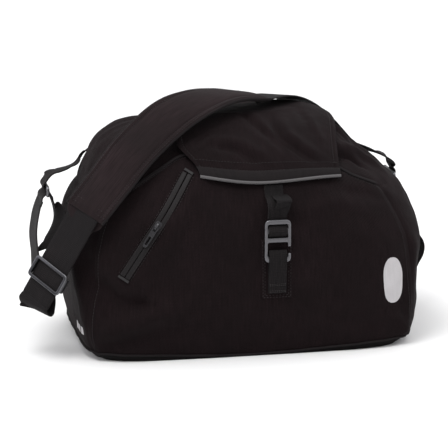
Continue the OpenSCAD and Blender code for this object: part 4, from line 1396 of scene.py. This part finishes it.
@dataclass
class Flap:
    """The flap over the collar, with its bound and piped hem."""

    finishes: Finishes
    left: float = 90.0
    right: float = 138.0
    back: float = 80.0
    lift: float = 5.6
    thick: float = 2.4
    hem_share: float = 0.965
    folds: tuple[Fold, ...] = ()
    fold_depth: float = 1.2
    deepest: float = -3.4
    proudest: float = 6.0
    binding_thick: float = 3.0
    piping_radius: float = 2.1
    hinge_tape_thick: float = 1.4

    def hem_y(self, x: np.ndarray) -> np.ndarray:
        """Returns the hem's line in plan."""
        return -119 + 0.0011 * (x - 18) ** 2

    def place(self, u: np.ndarray, v: np.ndarray) -> np.ndarray:
        """Returns places on the flap's under face, before its folds.

        Args:
            u: Share of the way from the left edge to the right.
            v: Share of the way from the back to the hem, below 0 behind the hinge.

        Returns:
            The places.
        """
        back = ease(1 - v / 0.3)
        x = (-(self.left - 24 * ease(v * 6 - 5) - 24 * back) * (1 - u)
             + (self.right - 15 * ease(v * 1.6 - 0.6) - 52 * back) * u)
        y = self.back + (self.hem_y(x) - self.back) * v
        top = np.maximum(FORM.top_z(x, y), FORM.top_z(x, y + 2))
        rise = self.lift * ease(1 + np.minimum(v, 0) / 0.11) + 0.9
        rise = np.where(v >= 0, self.lift, rise)
        arch = 2.4 * np.cos(np.radians(np.minimum(90, np.abs(y - 10) * 1.2)))
        return np.stack([x, y, top + rise + arch], -1)

    def facing(self, u: np.ndarray, v: np.ndarray) -> np.ndarray:
        """Returns the way that the flap faces."""
        e = 0.01
        return unit(np.cross(self.place(u + e, v) - self.place(u - e, v),
                             self.place(u, v - e) - self.place(u, v + e)))

    def surface(self, u: np.ndarray, v: np.ndarray, off: float) -> np.ndarray:
        """Returns places off the smooth flap's under face."""
        return self.place(u, v) + self.facing(u, v) * off

    def cloth(self, u: np.ndarray, v: np.ndarray, off: float) -> np.ndarray:
        """Returns places off the folded flap's under face."""
        place = self.place(u, v)
        calm = ease(np.abs(1.0 - v) / 0.14) * ease((v + 0.1) / 0.1)
        lift = Ripple(0.8, 120, 50, 31).lift(place) + Ripple(0.3, 30, 14, 8).lift(place)
        for fold in self.folds:
            lift = lift + self.fold_depth * fold.lift(place)
        edge = np.minimum(u, 1 - u) * (self.left + self.right)
        lift = np.clip(lift, self.deepest, self.proudest) * calm
        hem_turn = 0.8 * np.exp(-((edge - 4) / 3) ** 2) - 0.5 * np.exp(-((edge - 9) / 1.6) ** 2)
        return place + self.facing(u, v) * (off + lift + hem_turn)[..., None]

    def build(self) -> None:
        """Makes the flap, its hem binding and piping, its hinge tape and its stitches."""
        u = np.linspace(0, 1, 190)[None, :]
        v = np.linspace(self.hem_share + 0.004, -0.1, 170)[:, None]
        grid = self.cloth(u + 0 * v, v + 0 * u, self.thick)
        piece = add_piece("flap_cloth", thick_cloth(grid, self.thick - 0.4), self.finishes.canvas,
                          None, ["flap"])
        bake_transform(piece)
        us = np.linspace(0.0, 1.0, 150)
        one = np.ones_like(us)
        # the binding's bulge: each row's share of the way to the hem and its height
        bulge = ((0.957, 2.4), (0.960, 3.3), (0.968, 3.6), (0.980, 3.6), (0.990, 3.3), (0.995, 2.6))
        hem = np.stack([self.surface(us, one * share, rise) for share, rise in bulge])
        add_piece("flap_hem_binding", thick_cloth(hem[::-1], self.binding_thick), self.finishes.tape,
                  "flap")
        low = self.surface(us, one * 0.9995, 1.7)
        add_piece("flap_hem_piping", rod(low, self.piping_radius, 12), self.finishes.piping,
                  "flap", ["flap_binding"])
        rows = []
        for share in (0.958, 0.925):
            path = self.cloth(us[2:-2], one[2:-2] * share, self.thick + 0.15)
            rows.append(stitch_row(path, self.facing(us[2:-2], one[2:-2] * share)))
        vs = np.linspace(0.05, 0.93, 90)
        for side in (0.034, 0.966):
            path = self.cloth(np.full(90, side), vs, self.thick + 0.1)
            rows.append(stitch_row(path, self.facing(np.full(90, side), vs)))
        add_piece("flap_stitches", Shape.joined(rows), self.finishes.thread, "flap")
        xs = np.linspace(-62, 78, 60)
        lines = np.array([[(x, y) for x in xs] for y in (88.0, 91.5, 95.0)])
        tape = np.stack([lines[..., 0], lines[..., 1],
                         FORM.top_z(lines[..., 0], lines[..., 1]) + 4.4], -1)
        add_piece("flap_hinge_seam_tape", thick_cloth(tape, self.hinge_tape_thick),
                  self.finishes.tape, "bag", ["flap_hinge_tape"])


PAD_STOPS = ((-218, -112, 199), (-185, -100, 235), (-146, -84, 276), (-98, -62, 311),
             (-55, -40, 326), (-12, -16, 329), (33, 8, 321))
PAD_ACROSS = ((0.73, -0.63, -0.27), (0.72, -0.62, -0.32), (0.70, -0.60, -0.40), (0.66, -0.62, -0.42),
              (0.58, -0.76, -0.28), (0.50, -0.86, -0.08), (0.46, -0.89, 0.04))


@dataclass
class ShoulderStrap:
    """The padded strap, its webbing, the three-bar adjuster and the way to the end rings."""

    finishes: Finishes
    web_top: tuple[float, float, float] = (-222.0, -111.0, 193.0)
    web_way: tuple[float, float, float] = (-49.0, 6.0, -87.0)
    web_across: tuple[float, float, float] = (0.62, -0.75, -0.2)
    web_long: float = 124.0
    web: float = 50.0
    web_thick: float = 2.0
    pad_edge: float = 30.4
    pad_end_row: float = 22.0
    adjuster_at: float = 88.0
    adjuster_size: tuple[float, float] = (60.0, 30.0)
    adjuster_opening: tuple[float, float] = (51.2, 21.6)
    adjuster_lift: float = 3.7
    rail_x: float = 27.8
    bar_radius: float = 1.8
    bar_behind: float = -3.4
    heading: np.ndarray = field(init=False)

    def __post_init__(self) -> None:
        """Finds the webbing's direction."""
        self.heading = unit(np.array(self.web_way))

    def on_strap(self, run: float) -> np.ndarray:
        """Returns a place along the straight webbing."""
        return np.array(self.web_top) + self.heading * run

    def pad_profile(self) -> np.ndarray:
        """Returns the pad's outline: a crowned middle between two stitched channels."""
        half = [(-31, 1.4), (-30, 2.6), (-27.5, 3.7), (-25.2, 3.5), (-24, 2.9),
                (-22.8, 3.7), (-19, 4.7), (-12, 5.3), (-4, 5.6)]
        top = half + [(-s, t) for s, t in half[::-1]]
        return np.array(top + [(s, -t) for s, t in top[::-1]])

    def pad_frame(self, steps: int) -> tuple[np.ndarray, np.ndarray, np.ndarray]:
        """Returns the pad's middle line, side directions and facings."""
        places, across = np.array(PAD_STOPS, float), np.array(PAD_ACROSS, float)
        turns = np.linspace(0, len(places) - 1, steps + 1)
        centre = along(places, turns)
        heading = unit(np.gradient(centre, axis=0))
        side = along(across, turns)
        side = unit(side - (side * heading).sum(1, keepdims=True) * heading)
        return centre, side, np.cross(side, heading)

    def build_pad(self) -> None:
        """Makes the pad, its bound edges and its stitches."""
        def swell(share: np.ndarray) -> np.ndarray:
            """Thins the pad at its sewn ends."""
            return 0.42 + 0.58 * ease(np.minimum(share, 1 - share) / 0.045)

        pad = sweep(PAD_STOPS, PAD_ACROSS, self.pad_profile(), 220, swell)
        lift = Ripple(0.5, 90, 40, 13).lift(pad.points)
        pad.points = pad.points + lift[:, None] * np.array([0, -0.4, 0.6])
        # the pad's cloth is painted lighter than the canvas, as painted top light
        pad_piece = add_piece("padded_strap", pad, self.finishes.pad_cloth,
                              "shoulder_strap", ["shoulder_pad"])
        centre, side, face = self.pad_frame(120)
        edges, rows = [], []
        for sign in (-1.0, 1.0):
            line = centre + side * sign * self.pad_edge
            edges.append(sweep(line[::4], face[::4], round_profile(4.6, 3.4, 12), 150))
            for at, rise in ((24.0, 3.0), (28.4, 3.6)):
                row = (centre + side * sign * at + face * rise)[3:-3]
                rows.append(stitch_row(row, face[3:-3]))
        # two rows over each end, the outer one lower on the thinned pad
        reach = np.linspace(-self.pad_end_row, self.pad_end_row, 30)[:, None]
        for end, rise in ((4, 4.0), (7, 4.7), (-5, 4.0), (-8, 4.7)):
            rows.append(stitch_row(centre[end] + reach * side[end] + face[end] * rise, face[end]))
        add_piece("pad_edge_binding", Shape.joined(edges), self.finishes.tape,
                  "shoulder_strap")
        add_piece("pad_stitches", Shape.joined(rows), self.finishes.thread,
                  "shoulder_strap")
        # a layer of pad cloth under the end, narrowing onto the webbing
        start = np.array(PAD_STOPS[0], float)
        tongue_stops = [start + self.heading * k - face[0] * 3.2 for k in (-12.0, -2.0, 8.0, 15.0)]
        tongue = sweep(tongue_stops, [PAD_ACROSS[0]] * 4, tape_profile(58, 2.6, 0.4), 24)
        inner = tongue.points - start
        run = inner @ self.heading
        away = inner @ np.array(PAD_ACROSS[0])
        narrow = 1 - 0.32 * ease((run - 2) / 14) ** 2
        tongue.points += (away * (narrow - 1))[:, None] * np.array(PAD_ACROSS[0])
        add_piece("pad_under_layer", tongue, self.finishes.pad_cloth, "shoulder_strap")

    def build_webbing(self) -> None:
        """Makes the webbing: down to its fold, up to the left ring and back, and round the rear."""
        across = self.web_across
        flat = (0, -1, 0)
        profile = tape_profile(self.web, self.web_thick)
        down = [self.on_strap(-8.0), self.on_strap(self.web_long / 2), self.on_strap(self.web_long)]
        add_piece("front_strap_webbing", sweep(down, [across] * 3, profile, 60),
                  self.finishes.webbing, "shoulder_strap", ["front_webbing"])
        up = [self.on_strap(self.web_long + 0.2), self.on_strap(self.web_long + 8), (-281, -97, 70),
              (-275, -84, 82), (-276, -58, 108), (-275, -28, 148), (-268, 4, 176), (-262, 7, 192)]
        up_across = [across, across, across, (0.4, -0.9, -0.2), (0.15, -1, 0), flat, flat, flat]
        top = [(-262, 7, 192), (-260.5, 7, 199.6), (-254, 7, 204.0), (-248, 7, 200.5), (-247, 7, 195)]
        back = [(-247, 7, 195), (-242, 4, 176), (-247, -30, 156), (-255, -52, 142)]
        back_across = [flat, flat, (0.2, -1, 0), (0.4, -0.9, 0)]
        loop = Shape.joined([sweep(up, up_across, profile, 130),
                             sweep(top, [flat] * 5, tape_profile(46, 1.6), 40),
                             sweep(back, back_across, profile, 60)])
        piece = add_piece("left_ring_webbing", loop, self.finishes.webbing,
                          None, ["left_strap_loop"])
        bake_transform(piece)
        rear = [(28, 6, 319.5), (37.5, 11, 320), (80, 46, 314), (124, 92, 284), (176, 140, 226),
                (230, 150, 166), (264, 116, 120), (281, 78, 84), (266, 66, 66), (257, 70, 100),
                (256, 78, 140), (246, 84, 178)]
        rear_across = [(0.46, -0.89, 0.04), (0.46, -0.89, 0.04), (0.56, -0.8, 0.1),
                       (0.66, -0.66, 0.2), (0.76, -0.5, 0.4), (0.6, -0.7, 0.3), (0.3, -0.95, 0.1),
                       (0.1, -1, 0), flat, flat, flat, flat]
        piece = add_piece("rear_strap_webbing", sweep(rear, rear_across, profile, 260),
                          self.finishes.webbing, None, ["rear_webbing"])
        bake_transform(piece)

    def build_adjuster(self) -> None:
        """Makes the three-bar adjuster: a flat frame in front and a bar behind the webbing."""
        across = np.array(self.web_across)
        side = unit(across - (across @ self.heading) * self.heading)
        out = np.cross(self.heading, side)
        axes = Axes(self.on_strap(self.adjuster_at), side, -self.heading, out)
        outlines = [box_corners(*self.adjuster_size, 5.5), box_corners(*self.adjuster_opening, 2.6)]
        parts = [plate(outlines, 3.0, 1.1, axes, self.adjuster_lift)]
        for sign in (-1.0, 1.0):
            rail = box_corners(4.4, 20, 1.6, (sign * self.rail_x, 0))
            parts.append(plate([rail], 7.0, 0.9, axes))
        bar = axes.placed(np.array([(x, 0, self.bar_behind) for x in np.linspace(-29, 29, 24)]))
        parts.append(rod(bar, self.bar_radius, 16))
        add_piece("three_bar_adjuster", Shape.joined(parts), self.finishes.strap_metal,
                  "adjuster", ["strap_adjuster"], 40)

    def build(self) -> None:
        """Makes the strap."""
        self.build_pad()
        self.build_webbing()
        self.build_adjuster()


@dataclass
class EndRings:
    """The flat wire rings at the bag's two ends, and the webbing tabs that hold them."""

    finishes: Finishes
    wire: float = 4.0
    ring_wide: float = 58.0
    ring_tall: float = 15.0
    tab_wide: float = 32.0
    tab_thick: float = 2.0

    def build_ring(self, name: str, node: str, at: Place) -> None:
        """Makes one ring, standing along the bag's depth."""
        axes = Axes(at, (0, 1, 0), (0, 0, 1), (1, 0, 0))
        outer = box_corners(self.ring_wide, self.ring_tall, 5)
        hole = box_corners(self.ring_wide - 2 * self.wire, self.ring_tall - 2 * self.wire + 1, 2.6)
        add_piece(name, plate([outer, hole], self.wire, 1.5, axes), self.finishes.strap_metal,
                  node, [node], 40)

    def build_tab(self, name: str, node: str, root: Sequence[Place], rest: Sequence[Place],
                  across: Sequence[Place]) -> None:
        """Makes one tab, from its seam over the shoulder and round the ring's wire.

        Args:
            name: The piece's name.
            node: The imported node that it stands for.
            root: The sewn end's angles, levels and heights off the canvas.
            rest: The places that it passes on its way round the wire.
            across: The webbing's side direction at each place.
        """
        sewn = [tuple(FORM.cloth(np.array([angle]), np.array([level]), off)[0])
                for angle, level, off in root]
        tab = sweep([*sewn, *rest], across, tape_profile(self.tab_wide, self.tab_thick), 90)
        add_piece(name, tab, self.finishes.webbing, "bag", [node])

    def build(self) -> None:
        """Makes both rings and both tabs."""
        flat = (0, -1, 0)
        self.build_ring("left_end_ring", "left_ring", (-254, 7, 208))
        self.build_ring("right_end_ring", "right_ring", (242, 84, 190))
        self.build_tab(
            "left_ring_tab", "left_anchor_tab",
            [(168.0, 7.2, 1.0), (168.0, 6.95, 3.5), (170.0, 6.5, 8.0)],
            [(-228, 22, 231), (-247, 9, 228), (-255, 7, 219.4), (-258.5, 7, 213.4),
             (-255.5, 7, 208.6), (-251, 7, 211.5)],
            [(-0.4, -0.92, 0), (-0.4, -0.92, 0), (-0.3, -0.92, 0.1), (-0.15, -1, 0.1),
             flat, flat, flat, flat, flat])
        self.build_tab(
            "right_ring_tab", "right_anchor_tab",
            [(14.0, 7.1, 1.0), (14.0, 6.8, 4.0), (14.0, 6.4, 9.0)],
            [(225, 62, 222), (239, 80, 212), (243, 84, 203), (246.5, 84, 196.0),
             (243.5, 84, 190.6), (239, 84, 193.5)],
            [(-0.1, -0.95, 0.3), (-0.1, -0.95, 0.3), (-0.1, -0.95, 0.3), (-0.1, -1, 0.1),
             flat, flat, flat, flat, flat])


@dataclass
class Studio:
    """A pale floor, soft lights and the camera."""

    azimuth: float = -11.32
    elevation: float = 13.59
    distance: float = 3.3
    lens: float = 195.1
    aim: tuple[float, float, float] = (-0.012, 0.0, 0.1486)
    floor_reach: float = 14.0
    wall_light: float = 0.2
    ceiling_light: float = 1.75

    def build_floor(self) -> None:
        """Makes a wide floor of matt white paper."""
        # White paper has no gloss to speak of, so the bag's shadow stays soft on it.
        material, tree, shader = blank_material("matt_white_paper")
        grain = add_node(tree, "ShaderNodeTexNoise", {"Scale": 400.0, "Detail": 2.0})
        bump = add_node(tree, "ShaderNodeBump", {
            "Strength": 0.1, "Distance": 0.0002, "Height": grain.outputs["Fac"]})
        tree.links.new(bump.outputs[0], shader.inputs["Normal"])
        shader.inputs["Base Color"].default_value = linear("#e8e8e8")
        shader.inputs["Roughness"].default_value = 0.9
        shader.inputs["Specular IOR Level"].default_value = 0.1
        mesh = bpy.data.meshes.new("paper_floor")
        reach = self.floor_reach
        mesh.from_pydata([(-reach, -reach, 0), (reach, -reach, 0), (reach, reach, 0),
                          (-reach, reach, 0)], [], [(0, 1, 2, 3)])
        mesh.materials.append(material)
        floor = bpy.data.objects.new("paper_floor", mesh)
        bpy.context.scene.collection.objects.link(floor)
        floor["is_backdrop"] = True

    def add_light(self, name: str, at: Place, size: float, power: float,
                  colour: str = "#ffffff") -> None:
        """Hangs a square softbox that faces the bag's middle."""
        light = bpy.data.lights.new(name, "AREA")
        light.shape = "SQUARE"
        light.size = size
        light.energy = power
        light.color = linear(colour)[:3]
        holder = bpy.data.objects.new(name, light)
        holder.location = at
        holder.rotation_euler = (Vector((0, 0, 0.12)) - Vector(at)).to_track_quat("-Z", "Y").to_euler()
        bpy.context.scene.collection.objects.link(holder)

    def build(self) -> None:
        """Sets the floor, the lights, the world and the camera."""
        self.build_floor()
        world = bpy.data.worlds.new("studio")
        world.use_nodes = True
        tree = world.node_tree
        backdrop = tree.nodes["Background"]
        way = add_node(tree, "ShaderNodeTexCoord").outputs["Generated"]
        rise = add_node(tree, "ShaderNodeSeparateXYZ", {0: way}).outputs["Z"]
        # the room's light comes from a bright ceiling, so the walls are dimmer
        strength = add_node(tree, "ShaderNodeMapRange", {
            "Value": rise, "From Min": 0.0, "From Max": 1.0,
            "To Min": self.wall_light, "To Max": self.ceiling_light}).outputs[0]
        backdrop.inputs["Color"].default_value = linear("#ffffff")
        tree.links.new(strength, backdrop.inputs["Strength"])
        scene = bpy.context.scene
        scene.world = world
        scene.view_settings.view_transform = "Standard"
        self.add_light("key_softbox", (-0.9, -1.0, 2.4), 1.0, 30.0)
        self.add_light("left_softbox", (-2.4, 0.5, 1.2), 1.2, 12.0, "#f8f6ff")
        self.add_light("right_softbox", (2.5, 0.3, 1.3), 1.2, 12.0, "#f8f6ff")
        camera = bpy.data.cameras.new("camera")
        camera.lens = self.lens
        camera.sensor_width = 36.0
        camera.clip_end = 60.0
        holder = bpy.data.objects.new("camera", camera)
        turn, rise = math.radians(self.azimuth), math.radians(self.elevation)
        back = Vector((math.sin(turn) * math.cos(rise), -math.cos(turn) * math.cos(rise),
                       math.sin(rise)))
        holder.location = Vector(self.aim) + back * self.distance
        holder.rotation_euler = (-back).to_track_quat("-Z", "Y").to_euler()
        scene.collection.objects.link(holder)
        scene.camera = holder


FLAP_FOLDS = (
    Fold(((46, -34, 304), (45, -68, 288), (61, -87, 272), (85, -99, 255), (100, -99, 251)), 6.5, -4.2),
    Fold(((60, -38, 303), (60, -66, 288), (76, -82, 272), (98, -92, 257)), 8.0, 3.0),
    Fold(((8, -20, 308), (14, -48, 299), (34, -76, 283), (58, -98, 262)), 7.0, -2.8),
    Fold(((22, -26, 307), (28, -52, 297), (45, -76, 281)), 7.0, 1.8),
    Fold(((-47, -87, 275), (-16, -92, 271), (-2, -100, 262), (16, -108, 252)), 6.0, -3.8),
    Fold(((-50, -76, 284), (-12, -82, 279), (10, -92, 269), (30, -102, 257)), 7.0, 2.4),
    Fold(((-64, -89, 271), (-52, -82, 279), (-39, -75, 285)), 3.2, 2.2),
    Fold(((-70, -82, 274), (-58, -74, 282), (-46, -68, 288)), 4.0, -1.8),
    Fold(((96, -20, 296), (100, -50, 288), (110, -78, 272)), 7.0, 2.4),
    Fold(((84, 10, 302), (88, -20, 300), (92, -46, 292)), 7.0, -2.2))


def corners() -> list[list[float]]:
    """Returns the shown object's lowest and highest corner, in metres."""
    return [list(corner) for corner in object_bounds()]


def main() -> None:
    """Builds every sub-assembly in order, then the studio."""
    logging.basicConfig(level=logging.INFO, format="%(name)s %(message)s")
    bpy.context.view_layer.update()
    finishes = Finishes()
    flap = Flap(finishes, folds=FLAP_FOLDS)
    for part in (BagBody(finishes), Marks(finishes), FrontPocket(finishes),
                 HookClosure(finishes, flap), flap, ShoulderStrap(finishes), EndRings(finishes),
                 Studio()):
        part.build()
        log.info("built %s", type(part).__name__)


if __name__ == "__main__":
    main()
